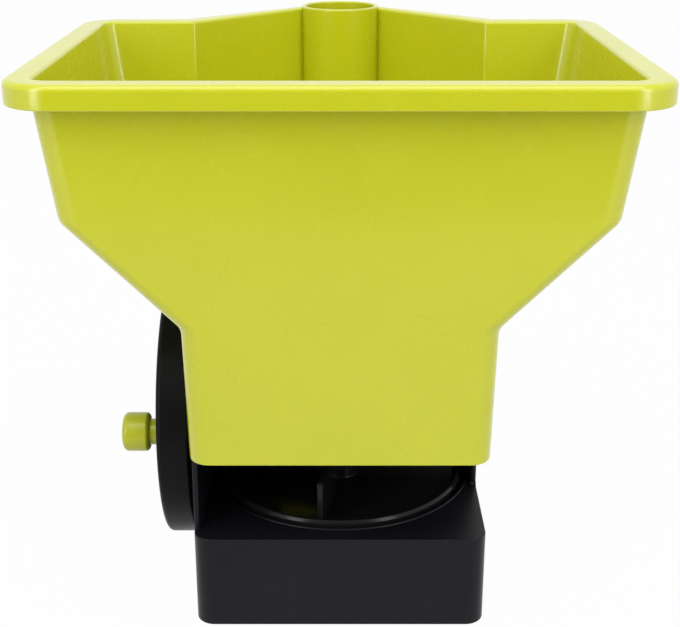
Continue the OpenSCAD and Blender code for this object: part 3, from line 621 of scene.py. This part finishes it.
# The knob's lime with painted shade: darker tones in place of the shade on the knob.
KNOB_SHADED_LIME = moulded_plastic("knob_plastic_painted_shade", KNOB_SHADED_TONES, (0.24, 0.32), 900, 0.03 * MM)
GATE_LIME = moulded_plastic("gate_plastic", LIME_TONES, (0.22, 0.30), 900, 0.015 * MM)
let_light_through(GATE_LIME, GATE_GLOW_DEPTH)
BLACK = moulded_plastic("black_plastic", BLACK_TONES, (0.28, 0.40), 1100, 0.03 * MM, specular=0.18)
WHEEL_BLACK = moulded_plastic("wheel_plastic", WHEEL_TONES, (0.32, 0.44), 1100, 0.03 * MM, specular=0.09)
# Glossy black for the spinner, its tone made lighter as painted light in the well.
SPINNER_GLOSS_BLACK_PAINTED_LIGHT = moulded_plastic("spinner_plastic_painted_light", SPINNER_PAINTED_LIGHT_TONES, (0.14, 0.21), 400, 0.01 * MM,
                              specular=0.18)
NYLON = moulded_plastic("nylon", NYLON_TONES, (0.38, 0.5), 1200, 0.02 * MM)
RUBBER = moulded_plastic("rubber", RUBBER_TONES, (0.6, 0.75), 1800, 0.05 * MM, specular=0.3)
STEEL_TONES = (0.42, 0.43, 0.45), (0.66, 0.67, 0.69)
STEEL_X = brushed_steel("turned_steel_x", (2500, 60, 60), *STEEL_TONES)
STEEL_Z = brushed_steel("turned_steel_z", (60, 60, 2500), *STEEL_TONES)
# Steel toned near black, used only for the spinner shaft, so that it shows dark under the hopper.
DARK_SHAFT_STEEL = brushed_steel("dark_shaft_steel", (60, 60, 2500), (0.02, 0.02, 0.022), (0.05, 0.05, 0.053))


# Screws

def screw_spots(node):
    """Centres of the four screws in a node, seen from above."""
    low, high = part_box(node)
    xs = (low.x + SCREW_HEAD_R, high.x - SCREW_HEAD_R)
    ys = (low.y + SCREW_HEAD_R, high.y - SCREW_HEAD_R)
    return [(x, y, 0) for x in xs for y in ys]


HOPPER_SPOTS = screw_spots("hopper_screws")
COVER_SPOTS = screw_spots("cover_screws")


def screw(spot, seat, shank_end):
    """A pan-head screw with a cross in its head; its head points away from the end of its shank."""
    out = 1 if shank_end < seat else -1
    top = seat + out * SCREW_HEAD_H
    dome = arc((SCREW_HEAD_R - SCREW_DOME, 0), SCREW_DOME, 0, 90, 5)
    head = [(p[0], top - out * (SCREW_DOME - p[1])) for p in dome]
    tip = [(0, shank_end), (SCREW_R - SCREW_TIP_INSET, shank_end)]
    shank = [(SCREW_R, shank_end + out * SCREW_TIP_L), (SCREW_R, seat)]
    profile = [*tip, *shank, (SCREW_HEAD_R, seat), *head, (0, top)]
    body = lathe("screw", profile, spot, steps=32)
    for w, l in ((CROSS_W / 2, CROSS_L / 2), (CROSS_L / 2, CROSS_W / 2)):
        levels = sorted((top - out * CROSS_DEPTH, top + out * CUT))
        low = (spot[0] - w, spot[1] - l, levels[0])
        combine(body, "DIFFERENCE", box("cross", low, (spot[0] + w, spot[1] + l, levels[1])))
    return body


def make_screws():
    low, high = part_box("hopper_screws")
    screws = [screw(spot, high.z - SCREW_HEAD_H, low.z) for spot in HOPPER_SPOTS]
    dress(joined("hopper_screw_set", screws), "housing", STEEL_Z, "steel", "hopper_screws")
    low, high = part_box("cover_screws")
    screws = [screw(spot, low.z + SCREW_HEAD_H, high.z) for spot in COVER_SPOTS]
    dress(joined("cover_screw_set", screws), "housing", STEEL_Z, "steel", "cover_screws")


# Hopper

def up_share(z):
    return (z - WALL_TOP) / (RIM_Z - WALL_TOP)


def plan(half, z):
    """Sharp plan corners of the wall at this half-width and height, and how far they are rounded."""
    s = min(1, max(0, (half - NECK_HALF) / (BEND_HALF - NECK_HALF)))
    front = lerp(NECK_FRONT, RIM_FRONT - RIM_OVER, up_share(z))
    rear = lerp(NECK_REAR, RIM_REAR - RIM_OVER, up_share(z))
    bay, tip = lerp(BAY_NECK_HALF, BAY_HALF, s), lerp(rear, GRIP_Y, s)
    points = [(-half, -front), (half, -front), (half, rear), (bay, rear),
              (BAY_TIP, tip), (-BAY_TIP, tip), (-bay, rear), (-half, rear)]
    f, r = lerp(NECK_CORNER, FRONT_CORNER, s), lerp(NECK_CORNER, REAR_CORNER, s)
    return np.array(points), np.array([f, f, r, BAY_ROUND, TIP_ROUND, TIP_ROUND, BAY_ROUND, r])


def rim_plan():
    """Sharp plan corners of the rim's outside, which runs out on the grip tube, and their rounding."""
    bay, tip = BAY_HALF + RIM_BAY_OUT, GRIP_Y + RIM_TIP_OUT
    points = [(-RIM_HALF, -RIM_FRONT), (RIM_HALF, -RIM_FRONT), (RIM_HALF, RIM_REAR), (bay, RIM_REAR),
              (BAY_TIP, tip), (-BAY_TIP, tip), (-bay, RIM_REAR), (-RIM_HALF, RIM_REAR)]
    f, r = RIM_CORNER, REAR_CORNER + RIM_OVER
    return np.array(points), np.array([f, f, r, BAY_ROUND, TIP_ROUND, TIP_ROUND, BAY_ROUND, r])


def wall_ring(half, z, inset=0.0, lift=0.0):
    """A ring round the wall, moved in by inset; the rear bay's corners keep their rounding."""
    points, rounds = plan(half, z)
    turned_in = [t if i in BAY_CORNERS else t - inset for i, t in enumerate(rounds)]
    return flat_ring(rounded(grown(points, -inset), turned_in), z + lift)


def rim_ring(out, z):
    """A ring round the rim: out is measured from the wall's outside."""
    if out < 0:
        return wall_ring(WALL_HALF, RIM_Z, -out, z - RIM_Z)
    (inner, inner_rounds), (outer, outer_rounds) = plan(WALL_HALF, RIM_Z), rim_plan()
    s = out / RIM_OVER
    return flat_ring(rounded(lerp(inner, outer, s), lerp(inner_rounds, outer_rounds, s)), z)


def side_profile():
    """Half-width and height up the outside of the wall, from the neck to the rim."""
    foot, neck = (NECK_FOOT, WALL_TOP), (NECK_HALF, NECK_Z)
    bend, top = (BEND_HALF, BEND_Z), (WALL_HALF, RIM_Z)
    return corner(foot, neck, bend, CREASE_TANGENT, 4) + corner(neck, bend, top, BEND_TANGENT, 8)


def hopper_shell():
    sides = side_profile()
    slope = math.atan2(SLOPE_H, BEND_HALF - NECK_HALF)
    lift = WALL * (1 / math.sin(slope) - 1) * math.tan(slope)
    skirt, under, foot_r = RIM_Z - RIM_SKIRT, RIM_Z - WALL, NECK_FOOT_ROUND
    upper = lerp(BEND_HALF, WALL_HALF, (under - BEND_Z) / (RIM_Z - BEND_Z))
    foot = arc((-foot_r, WALL_TOP + foot_r), foot_r, -90, 0, 4)
    rim_r = RIM_FOOT_ROUND
    skirt_foot = arc((RIM_OVER - WALL + rim_r, skirt + rim_r), rim_r, 180, 270, 3)
    skirt_foot += arc((RIM_OVER - rim_r, skirt + rim_r), rim_r, 270, 360, 3)
    top = arc((RIM_OVER - RIM_ROUND, RIM_Z - RIM_ROUND), RIM_ROUND, 0, 90, 8)
    inner = arc((-WALL + RIM_INNER_ROUND, RIM_Z - RIM_INNER_ROUND), RIM_INNER_ROUND, 90, 180, 5)
    rings = [wall_ring(NECK_FOOT, FLOOR_UNDER, WALL), wall_ring(NECK_FOOT, WALL_TOP, WALL)]
    rings += [wall_ring(NECK_FOOT, WALL_TOP, -p[0], p[1] - WALL_TOP) for p in foot]
    rings += [wall_ring(*p) for p in sides]
    rings += [wall_ring(upper, under), rim_ring(RIM_OVER - WALL, under)]
    rings += [rim_ring(*p) for p in skirt_foot + top + inner]
    rings += [wall_ring(*p, WALL, lift) for p in sides[::-1]]
    rings += [wall_ring(NECK_FOOT, FLOOR_TOP, WALL)]
    return loft("hopper_body", rings)


def grip_tube():
    end = arc((GRIP_R - GRIP_END_ROUND, GRIP_FOOT + GRIP_END_ROUND), GRIP_END_ROUND, -90, 0)
    lip = arc((GRIP_R - GRIP_LIP_ROUND, GRIP_TOP - GRIP_LIP_ROUND), GRIP_LIP_ROUND, 0, 90, 5)
    return lathe("grip", [(0, GRIP_FOOT), *end, *lip, (0, GRIP_TOP)], (0, GRIP_Y, 0))


def grip_bore():
    low, high, wide = GRIP_TOP - GRIP_BORE_L, GRIP_TOP + CUT, GRIP_BORE_R + GRIP_LIP_ROUND
    lip = arc((wide, GRIP_TOP - GRIP_LIP_ROUND), GRIP_LIP_ROUND, 180, 90, 5)
    profile = [(0, low), (GRIP_BORE_R, low), *lip, (wide, high), (0, high)]
    return lathe("grip_bore", profile, (0, GRIP_Y, 0))


def port_cut():
    x, y = (GATE_LO.x + GATE_HI.x) / 2, GATE_LO.y + GATE_OVER + PORT_SIDE / 2
    half = PORT_SIDE / 2
    return box("port", (x - half, y - half, FLOOR_UNDER - CUT), (x + half, y + half, FLOOR_TOP + CUT))


def gate_slot():
    low = (GATE_LO.x - FACE_GAP, NECK_REAR - 3 * WALL, GATE_LO.z - FACE_GAP)
    return box("slot", low, (GATE_HI.x + FACE_GAP, NECK_REAR + WALL, GATE_HI.z + FACE_GAP))


def make_hopper():
    hopper = combine(hopper_shell(), "UNION", grip_tube())
    bosses = [rod("boss", SCREW_BOSS_R, PLATE_TOP, FLOOR_UNDER + CUT / 2, spot) for spot in HOPPER_SPOTS]
    combine(hopper, "UNION", *bosses)
    top = FLOOR_TOP + CUT
    holes = [rod("hole", SCREW_R + FACE_GAP, PLATE_TOP - CUT, top, spot) for spot in HOPPER_SPOTS]
    shaft_hole = rod("shaft_hole", SHAFT_R + FACE_GAP, FLOOR_UNDER - CUT, top)
    combine(hopper, "DIFFERENCE", grip_bore(), port_cut(), gate_slot(), shaft_hole, *holes)
    return dress(hopper, "housing", LIME, "lime_plastic", "hopper")


# Base housing

def footprint(inset):
    return rounded_rect(BASE_LO.x + inset, BASE_HI.x - inset, BASE_LO.y + inset, BASE_HI.y - inset,
                        BASE_CORNER - inset)


def wall_outline():
    """The left, rear and right walls from above; the side walls have rounded front ends."""
    out, side, rear = BASE_HI.x, SIDE_WALL_IN, REAR_WALL_IN
    left, right, inner = -LEFT_WALL_FRONT, -RIGHT_WALL_FRONT, WALL_INNER_ROUND
    turn_x, turn_y = out - BASE_CORNER, BASE_HI.y - BASE_CORNER
    return [
        *corner((side, 0), (side, right), (out, right), WALL_END_ROUND, 5),
        *corner((side, right), (out, right), (out, 0), WALL_END_ROUND, 5),
        *arc((turn_x, turn_y), BASE_CORNER, 0, 90),
        *arc((-turn_x, turn_y), BASE_CORNER, 90, 180),
        *corner((-out, 0), (-out, left), (-side, left), WALL_END_ROUND, 5),
        *corner((-out, left), (-side, left), (-side, 0), WALL_END_ROUND, 5),
        *arc((-side + inner, rear - inner), inner, 180, 90),
        *arc((side - inner, rear - inner), inner, 90, 0),
    ]


def wall_foot():
    """The hollow fillet where the right wall's front end stands on the deck."""
    y, z, r = -RIGHT_WALL_FRONT, DECK_Z, WALL_FOOT_ROUND
    hollow = arc((y - r, z + r), r, -90, 0, 8)
    outline = [(y + CUT, z - CUT), (y - r, z - CUT), *hollow, (y + CUT, z + r)]
    return prism("wall_foot", outline, SIDE_WALL_IN, BASE_HI.x, 0, along_x)


def well():
    """What is cut out for the spinner: a flat-floored well whose lip is rounded."""
    lip = arc((WELL_R + WELL_LIP, DECK_Z - WELL_LIP), WELL_LIP, 180, 90, 5)
    over = DECK_Z + WELL_LIP_CUT
    profile = rounded_path([(0, WELL_TOP), (WELL_R, WELL_TOP, WELL_LIP), lip[0]]) + lip[1:]
    profile += [(WELL_R + WELL_LIP, over), (WELL_R, over), (WELL_R, WELL_CUT_TOP), (0, WELL_CUT_TOP)]
    return lathe("well", profile)


def well_bead():
    """The low rounded ring on the deck round the well."""
    r, z = WELL_R + WELL_LIP + WELL_BEAD_R, DECK_Z - CUT / 2
    crown = arc((r, DECK_Z), WELL_BEAD_R, 0, 180, 8)
    return lathe("well_bead", [(r + WELL_BEAD_R, z), *crown, (r - WELL_BEAD_R, z)], closed=True)


def make_base():
    roof = DECK_Z - DECK_T
    base = prism("base_box", footprint(0), BASE_LO.z, DECK_Z, BASE_EDGE)
    combine(base, "DIFFERENCE", prism("inside", footprint(BASE_WALL), BASE_LO.z - CUT, roof))
    root = DECK_Z - CUT
    combine(base, "UNION", rod("well_wall", WELL_R + BASE_WALL, WELL_UNDER, root, steps=ROUND_TURN))
    combine(base, "UNION", prism("walls", wall_outline(), root, BASE_HI.z, WALL_EDGE), wall_foot())
    left = -BASE_LO.x
    bosses = [rod("axle_boss", AXLE_BOSS_R, left - AXLE_BOSS_L, left - CUT, WHEEL_AXIS, "-X"),
              rod("layshaft_boss", LAY_BOSS_R, left - LAY_BOSS_L, left - CUT, LAYSHAFT_AXIS, "-X"),
              box("bracket", (BRACKET_X[0], -LAY_BOSS_R, LAYSHAFT_AXIS[2] - LAY_BOSS_R),
                  (BRACKET_X[1], LAY_BOSS_R, WELL_UNDER + CUT / 2))]
    for spot in HOPPER_SPOTS:
        foot = BASE_HI.z - WALL_BOSS_H if spot[1] < 0 else DECK_Z - CUT / 2
        bosses.append(rod("screw_boss", SCREW_BOSS_R, foot, BASE_HI.z, spot))
        if spot[1] < 0:
            ends = sorted((spot[0], math.copysign(SIDE_WALL_IN + CUT / 2, spot[0])))
            bosses.append(box("boss_web", (ends[0], spot[1] - SCREW_BOSS_R, foot),
                              (ends[1], spot[1] + SCREW_BOSS_R, BASE_HI.z)))
    bosses += [rod("cover_boss", SCREW_BOSS_R, COVER_T, roof + CUT / 2, spot) for spot in COVER_SPOTS]
    combine(base, "UNION", *bosses)
    near, far = -BRACKET_X[1] - CUT, -BRACKET_X[0] + CUT
    holes = [rod("bush_seat", BUSH_SEAT_R, WELL_UNDER - CUT, WELL_TOP + CUT),
             rod("axle_seat", AXLE_R + SEAT_PLAY, left - AXLE_BOSS_L - CUT, left + CUT, WHEEL_AXIS, "-X"),
             rod("layshaft_seat", BUSH_SEAT_R, left - LAY_BOSS_L - CUT, left + CUT, LAYSHAFT_AXIS, "-X"),
             rod("bracket_seat", BUSH_SEAT_R, near, far, LAYSHAFT_AXIS, "-X")]
    low, high = FLOOR_TOP - HOPPER_HOLE_L, BASE_HI.z + CUT
    holes += [rod("screw_hole", SCREW_HOLE_R, low, high, spot) for spot in HOPPER_SPOTS]
    holes += [rod("cover_hole", SCREW_HOLE_R, 0, COVER_HOLE_TOP, spot) for spot in COVER_SPOTS]
    combine(base, "DIFFERENCE", well(), *holes)
    combine(base, "UNION", well_bead())
    return dress(base, "housing", BLACK, "black_plastic", "base_housing")


# Spinner

def make_spinner():
    outer, inner = SPINNER_R, SPINNER_R - SPINNER_RIM_T
    low, floor, top, hub = DISC_LO.z, SPINNER_FLOOR, SPINNER_RIM_TOP, SPINNER_HUB_R
    bore, bevel_in, bevel_down = SHAFT_R + SEAT_PLAY, *SPINNER_BEVEL
    profile = rounded_path([
        (bore, low),
        (outer, low, SPINNER_FOOT_ROUND),
        (outer, top - bevel_down, SPINNER_BEVEL_ROUND),
        (outer - bevel_in, top, SPINNER_BEVEL_ROUND),
        (inner, top, SPINNER_RIM_ROUND),
        (inner, floor, SPINNER_FLOOR_ROUND),
        (hub, floor, SPINNER_HUB_FOOT_ROUND),
        (hub - SPINNER_HUB_DRAFT, SPINNER_HUB_TOP, SPINNER_HUB_ROUND),
        (bore, SPINNER_HUB_TOP)])
    disc = lathe("spinner", profile, closed=True)
    for k in range(VANE_COUNT):
        outline = rounded_rect(hub - EDGE, VANE_END, floor - CUT, DISC_HI.z, VANE_ROUND, 5)
        vane = prism("vane", outline, -VANE_T / 2, VANE_T / 2, VANE_EDGE, along_y)
        combine(disc, "UNION", turned(vane, VANE_ANGLE + k * 360 / VANE_COUNT, "Z"))
    return dress(disc, "spinner", SPINNER_GLOSS_BLACK_PAINTED_LIGHT, "black_plastic", "spinner_disc")


def make_agitator():
    low, high = AGITATOR_LO.z, AGITATOR_HI.z
    bore = SHAFT_R + SEAT_PLAY
    hub = lathe("agitator_hub", rounded_path([
        (bore, low),
        (AGITATOR_HUB_R, low, AGITATOR_FOOT_ROUND),
        (AGITATOR_HUB_R, high, AGITATOR_TOP_ROUND),
        (bore, high)]), closed=True)
    root, reach = SHAFT_R + CUT, AGITATOR_HI.x - FINGER_R
    end = arc((0, reach), FINGER_R, 0, 90, 8)
    profile = [(0, root), (FINGER_R, root), *end[:-1], (0, reach + FINGER_R)]
    for axis in ("X", "-X"):
        combine(hub, "UNION", lathe("finger", profile, (0, 0, (low + high) / 2), axis, 32))
    return dress(hub, "spinner", BLACK, "black_plastic", "agitator")


# Crank

def involute(r, base):
    t = math.sqrt(max(0, (r / base) ** 2 - 1))
    return t - math.atan(t)


def ring_spaces():
    """Outline of what is cut between the ring gear's teeth."""
    base = RING_R * math.cos(PRESSURE)
    outline = []
    for i in range(RING_TEETH):
        for side in (-1, 1):
            for share in (0, 0.5, 1) if side < 0 else (1, 0.5, 0):
                r = lerp(RING_TIP_R, RING_ROOT_R, share)
                half = math.pi / 2 / RING_TEETH + BACKLASH / 4 / RING_R
                half += involute(RING_R, base) - involute(r, base)
                outline.append(polar((0, 0), r, 2 * math.pi * i / RING_TEETH + side * half - MESH_TURN))
    return outline


def make_wheel():
    bore, gear_in = AXLE_R + RUN_PLAY, RING_TIP_R - EDGE
    hub_face = [(bore, HUB_SEAT), (HUB_RECESS_R, HUB_SEAT), (HUB_RECESS_R, WHEEL_OUT, EDGE)]
    dish = [(DISH_IN_R, WHEEL_OUT, EDGE), (DISH_IN_R + EDGE, DISH_FLOOR, EDGE),
            (DISH_OUT_R - EDGE, DISH_FLOOR, EDGE), (DISH_OUT_R, WHEEL_OUT, EDGE)]
    rim = [(WHEEL_R, WHEEL_OUT, WHEEL_OUT_ROUND), (WHEEL_R, WHEEL_IN, WHEEL_IN_ROUND),
           (WHEEL_BORE_R, WHEEL_IN, EDGE)]
    ring = [(WHEEL_BORE_R, TEETH_IN), (gear_in, TEETH_IN), (gear_in, TEETH_OUT), (WHEEL_BORE_R, TEETH_OUT)]
    inside = [(WHEEL_BORE_R, WHEEL_FACE, WHEEL_BORE_ROUND), (HUB_R, WHEEL_FACE, HUB_FOOT_ROUND),
              (HUB_R, HUB_END, EDGE), (bore, HUB_END)]
    profile = rounded_path([*hub_face, *dish, *rim, *ring, *inside], 5)
    wheel = lathe("wheel", profile, WHEEL_AXIS, "-X", WHEEL_STEPS, closed=True)
    lift = np.array(WHEEL_AXIS[1:])
    spaces = [p + lift for p in ring_spaces()]
    cut_out, cut_in = -TEETH_OUT - CUT / 10, -TEETH_IN + CUT / 10
    combine(wheel, "DIFFERENCE", prism("spaces", spaces, cut_out, cut_in, 0, along_x))
    for k in range(RIB_COUNT):
        low = (-WHEEL_FACE - CUT / 2, WHEEL_AXIS[1] - RIB_T / 2, WHEEL_AXIS[2] + HUB_R - CUT)
        high = (-WHEEL_FACE + RIB_DEPTH, WHEEL_AXIS[1] + RIB_T / 2, WHEEL_AXIS[2] + RIB_END)
        rib = box("rib", low, high)
        combine(wheel, "UNION", turned(rib, k * 360 / RIB_COUNT, "X", WHEEL_AXIS))
    profile = rounded_path([
        (0, KNOB_BOSS_IN),
        (KNOB_BOSS_R, KNOB_BOSS_IN, EDGE),
        (KNOB_BOSS_R, WHEEL_OUT, EDGE),
        (0, WHEEL_OUT)])
    combine(wheel, "UNION", lathe("knob_boss", profile, KNOB_AXIS, "-X", 48))
    hole_in, hole_out = KNOB_BOSS_IN - CUT, WHEEL_OUT + CUT
    pin_hole = rod("pin_hole", KNOB_PIN_R + SEAT_PLAY, hole_in, hole_out, KNOB_AXIS, "-X")
    combine(wheel, "DIFFERENCE", pin_hole)
    return dress(wheel, "crank", WHEEL_BLACK, "black_plastic", "crank_wheel")


def make_hub_cap():
    cap_r = (CAP_HI.y - CAP_LO.y) / 2
    skirt_r, skirt_in = HUB_RECESS_R - SEAT_PLAY, -CAP_HI.x
    bore, top = skirt_r - CAP_SKIRT_T, -CAP_LO.x
    skirt = [(bore, WHEEL_OUT), (bore, skirt_in), (skirt_r, skirt_in), (skirt_r, WHEEL_OUT)]
    crown = [(cap_r, WHEEL_OUT), (cap_r, top, CAP_ROUND), (0, top)]
    cap = lathe("wheel_cap", rounded_path([(0, WHEEL_OUT), *skirt, *crown], 6), WHEEL_AXIS, "-X")
    return dress(cap, "crank", BLACK, "black_plastic", "hub_cap")


def make_knob():
    bore, seat, neck = KNOB_PIN_R + RUN_PLAY, KNOB_IN + KNOB_SEAT, KNOB_IN + KNOB_NECK
    stem = [(bore, KNOB_IN), (KNOB_NECK_R, KNOB_IN, EDGE), (KNOB_NECK_R, neck, KNOB_NECK_ROUND)]
    head = [(KNOB_R - KNOB_CHAMFER, neck, EDGE), (KNOB_R, neck + KNOB_CHAMFER, EDGE),
            (KNOB_R, KNOB_OUT, KNOB_ROUND)]
    mouth = [(KNOB_CAP_R, KNOB_OUT, KNOB_MOUTH_ROUND), (KNOB_CAP_R, seat), (bore, seat)]
    knob = lathe("knob", rounded_path([*stem, *head, *mouth], 6), KNOB_AXIS, "-X", 96, closed=True)
    # The knob and its plug take the darker lime, which is painted shade.
    dress(knob, "knob", KNOB_SHADED_LIME, "lime_plastic", "crank_knob")
    cap_r, cap_in = KNOB_CAP_R - SEAT_PLAY, KNOB_OUT - KNOB_CAP_T
    profile = rounded_path([(0, cap_in), (cap_r, cap_in), (cap_r, KNOB_OUT, KNOB_CAP_ROUND), (0, KNOB_OUT)])
    plug = lathe("knob_plug", profile, KNOB_AXIS, "-X", 64)
    dress(plug, "knob", KNOB_SHADED_LIME, "lime_plastic", "knob_cap")


# Flow gate

def make_gate():
    outline = rounded_rect(GATE_LO.x, GATE_HI.x, GATE_LO.y, GATE_HI.y, GATE_CORNER)
    slide = prism("gate_slide", outline, GATE_LO.z, GATE_HI.z, GATE_EDGE)
    dress(slide, "gate", GATE_LIME, "lime_plastic", "flow_gate")
    outline = rounded_rect(TAB_LO.x, TAB_HI.x, TAB_LO.z, TAB_HI.z, TAB_CORNER)
    tab = prism("gate_grip", outline, TAB_LO.y, TAB_HI.y, TAB_EDGE, along_y, 5)
    for k in range(TAB_GROOVES):
        z = (TAB_LO.z + TAB_HI.z) / 2 + (k - (TAB_GROOVES - 1) / 2) * TAB_GROOVE_STEP
        groove = rod("groove", TAB_GROOVE_R, TAB_LO.x - CUT, TAB_HI.x + CUT, (0, TAB_HI.y, z), "X", 24)
        combine(tab, "DIFFERENCE", groove)
    slot = box("slot", (GATE_LO.x - SEAT_PLAY, TAB_LO.y - CUT, GATE_LO.z - SEAT_PLAY),
               (GATE_HI.x + SEAT_PLAY, GATE_HI.y, GATE_HI.z + SEAT_PLAY))
    combine(tab, "DIFFERENCE", slot)
    dress(tab, "gate", BLACK, "black_plastic", "gate_tab")


# Solids that keep their own shape

FINISHES = {
    BLACK: ["outlet_plate", "bottom_cover"],
    NYLON: ["deck_bush", "spur_pinion", "bevel_driver", "layshaft_bush_outer", "layshaft_bush_inner",
            "bevel_driven", "upper_bush", "lower_bush"],
    RUBBER: ["shaft_seal"],
    STEEL_X: ["wheel_axle", "axle_washer", "axle_screw", "knob_pin", "layshaft", "layshaft_clip"],
    STEEL_Z: ["spinner_clip", "thrust_washer"],
    # The spinner shaft takes the near-black steel.
    DARK_SHAFT_STEEL: ["spinner_shaft"],
}


def finish_solids():
    for material, nodes in FINISHES.items():
        for node in nodes:
            slots = frame["nodes"][node].data.materials
            slots.clear()
            slots.append(material)


make_hopper()
make_base()
make_spinner()
make_agitator()
make_wheel()
make_hub_cap()
make_knob()
make_gate()
make_screws()
finish_solids()

# Stage, light and camera
FLOOR_SIZE = 6
FLOOR_Z = -0.0002
FLOOR_COLOUR = 0.60
FLOOR_GLOW = 0.975
STAGE_ROUGH = 0.9
WORLD_STRENGTH = 0.60
CARD_COLOUR = 0.2
CARD_HALF = 0.4
CARD_HEIGHT = 0.6
CARD_LIFT = 0.002
CARD_BACK, CARD_FRONT = -0.75, -0.56
# Place, aim, size and power in watts of each softbox
LIGHTS = {
    "top_light": ((0, -0.4, 1.35), (0, 0, 0.15), (1.2, 0.9), 8.5),
    "left_light": ((-0.62, -0.70, 0.56), (0, 0, 0.50), (0.24, 1.0), 3.5),
    "right_light": ((0.64, -0.69, 0.56), (0, 0, 0.50), (0.24, 1.0), 3.5),
    "back_light": ((0, 1.2, 1.3), (0, 0, 0.15), (1.2, 0.6), 1.5),
}
CAMERA_PLACE = (0, -0.535, 0.320)
CAMERA_PITCH = math.radians(20.5)
IMAGE_W = 680
FOCAL_PIXELS = 1250
SENSOR = 36


def seen_share(tree, share):
    """The given share for rays of the camera, of reflections and of glass, and nothing for other rays."""
    path = tree.nodes.new("ShaderNodeLightPath")
    seen = path.outputs["Is Camera Ray"]
    for other in ("Is Glossy Ray", "Is Transmission Ray"):
        most = tree.nodes.new("ShaderNodeMath")
        most.operation = "MAXIMUM"
        tree.links.new(seen, most.inputs[0])
        tree.links.new(path.outputs[other], most.inputs[1])
        seen = most.outputs[0]
    product = tree.nodes.new("ShaderNodeMath")
    product.operation = "MULTIPLY"
    product.inputs[1].default_value = share
    tree.links.new(seen, product.inputs[0])
    return product.outputs[0]


def make_floor():
    """A pale floor that the camera and reflections see nearly white, with the object's shadow on it."""
    verts = [(x * FLOOR_SIZE, y * FLOOR_SIZE, FLOOR_Z) for x, y in ((-1, -1), (1, -1), (1, 1), (-1, 1))]
    floor = piece("floor", verts, [(0, 1, 2, 3)])
    material, tree, shader, _ = new_material("floor_white")
    shader.inputs["Base Color"].default_value = (FLOOR_COLOUR, FLOOR_COLOUR, FLOOR_COLOUR, 1)
    shader.inputs["Roughness"].default_value = STAGE_ROUGH
    glow = tree.nodes.new("ShaderNodeEmission")
    mix = tree.nodes.new("ShaderNodeMixShader")
    tree.links.new(seen_share(tree, FLOOR_GLOW), mix.inputs["Fac"])
    tree.links.new(shader.outputs["BSDF"], mix.inputs[1])
    tree.links.new(glow.outputs["Emission"], mix.inputs[2])
    tree.links.new(mix.outputs["Shader"], tree.nodes["Material Output"].inputs["Surface"])
    floor.data.materials.append(material)


def make_card():
    """A dark card under and behind the camera, which doesn't see it; it casts no shadow.

    Faces that look forward reflect it, so they show darker than under a white room.
    """
    steps = ((CARD_FRONT, CARD_LIFT), (CARD_BACK, CARD_LIFT), (CARD_BACK, CARD_HEIGHT))
    verts = [(x, y, z) for y, z in steps for x in (-CARD_HALF, CARD_HALF)]
    card = piece("dark_card", verts, [(0, 1, 3, 2), (2, 3, 5, 4)])
    material, _, shader, _ = new_material("card_black")
    shader.inputs["Base Color"].default_value = (CARD_COLOUR, CARD_COLOUR, CARD_COLOUR, 1)
    shader.inputs["Roughness"].default_value = STAGE_ROUGH
    card.data.materials.append(material)
    card.visible_camera = False
    card.visible_shadow = False


def softbox(name, place, aim, size, power):
    light = bpy.data.lights.new(name, "AREA")
    light.shape = "RECTANGLE"
    light.size, light.size_y = size
    light.energy = power
    obj = bpy.data.objects.new(name, light)
    obj.location = place
    obj.rotation_euler = (Vector(aim) - Vector(place)).to_track_quat("-Z", "Y").to_euler()
    obj.visible_camera = False
    bpy.context.scene.collection.objects.link(obj)


def make_light():
    world = bpy.data.worlds.new("studio")
    world.use_nodes = True
    tree = world.node_tree
    background = tree.nodes["Background"]
    background.inputs["Color"].default_value = (1, 1, 1, 1)
    strength = tree.nodes.new("ShaderNodeMath")
    strength.operation = "ADD"
    strength.inputs[1].default_value = WORLD_STRENGTH
    tree.links.new(seen_share(tree, 1 - WORLD_STRENGTH), strength.inputs[0])
    tree.links.new(strength.outputs[0], background.inputs["Strength"])
    bpy.context.scene.world = world
    for name, setting in LIGHTS.items():
        softbox(name, *setting)


def make_camera():
    data = bpy.data.cameras.new("camera")
    data.sensor_width = SENSOR
    data.lens = FOCAL_PIXELS / IMAGE_W * SENSOR
    camera = bpy.data.objects.new("camera", data)
    camera.location = CAMERA_PLACE
    camera.rotation_euler = (math.pi / 2 - CAMERA_PITCH, 0, 0)
    bpy.context.scene.collection.objects.link(camera)
    bpy.context.scene.camera = camera


make_floor()
make_card()
make_light()
make_camera()
bpy.context.scene.view_settings.view_transform = "Standard"
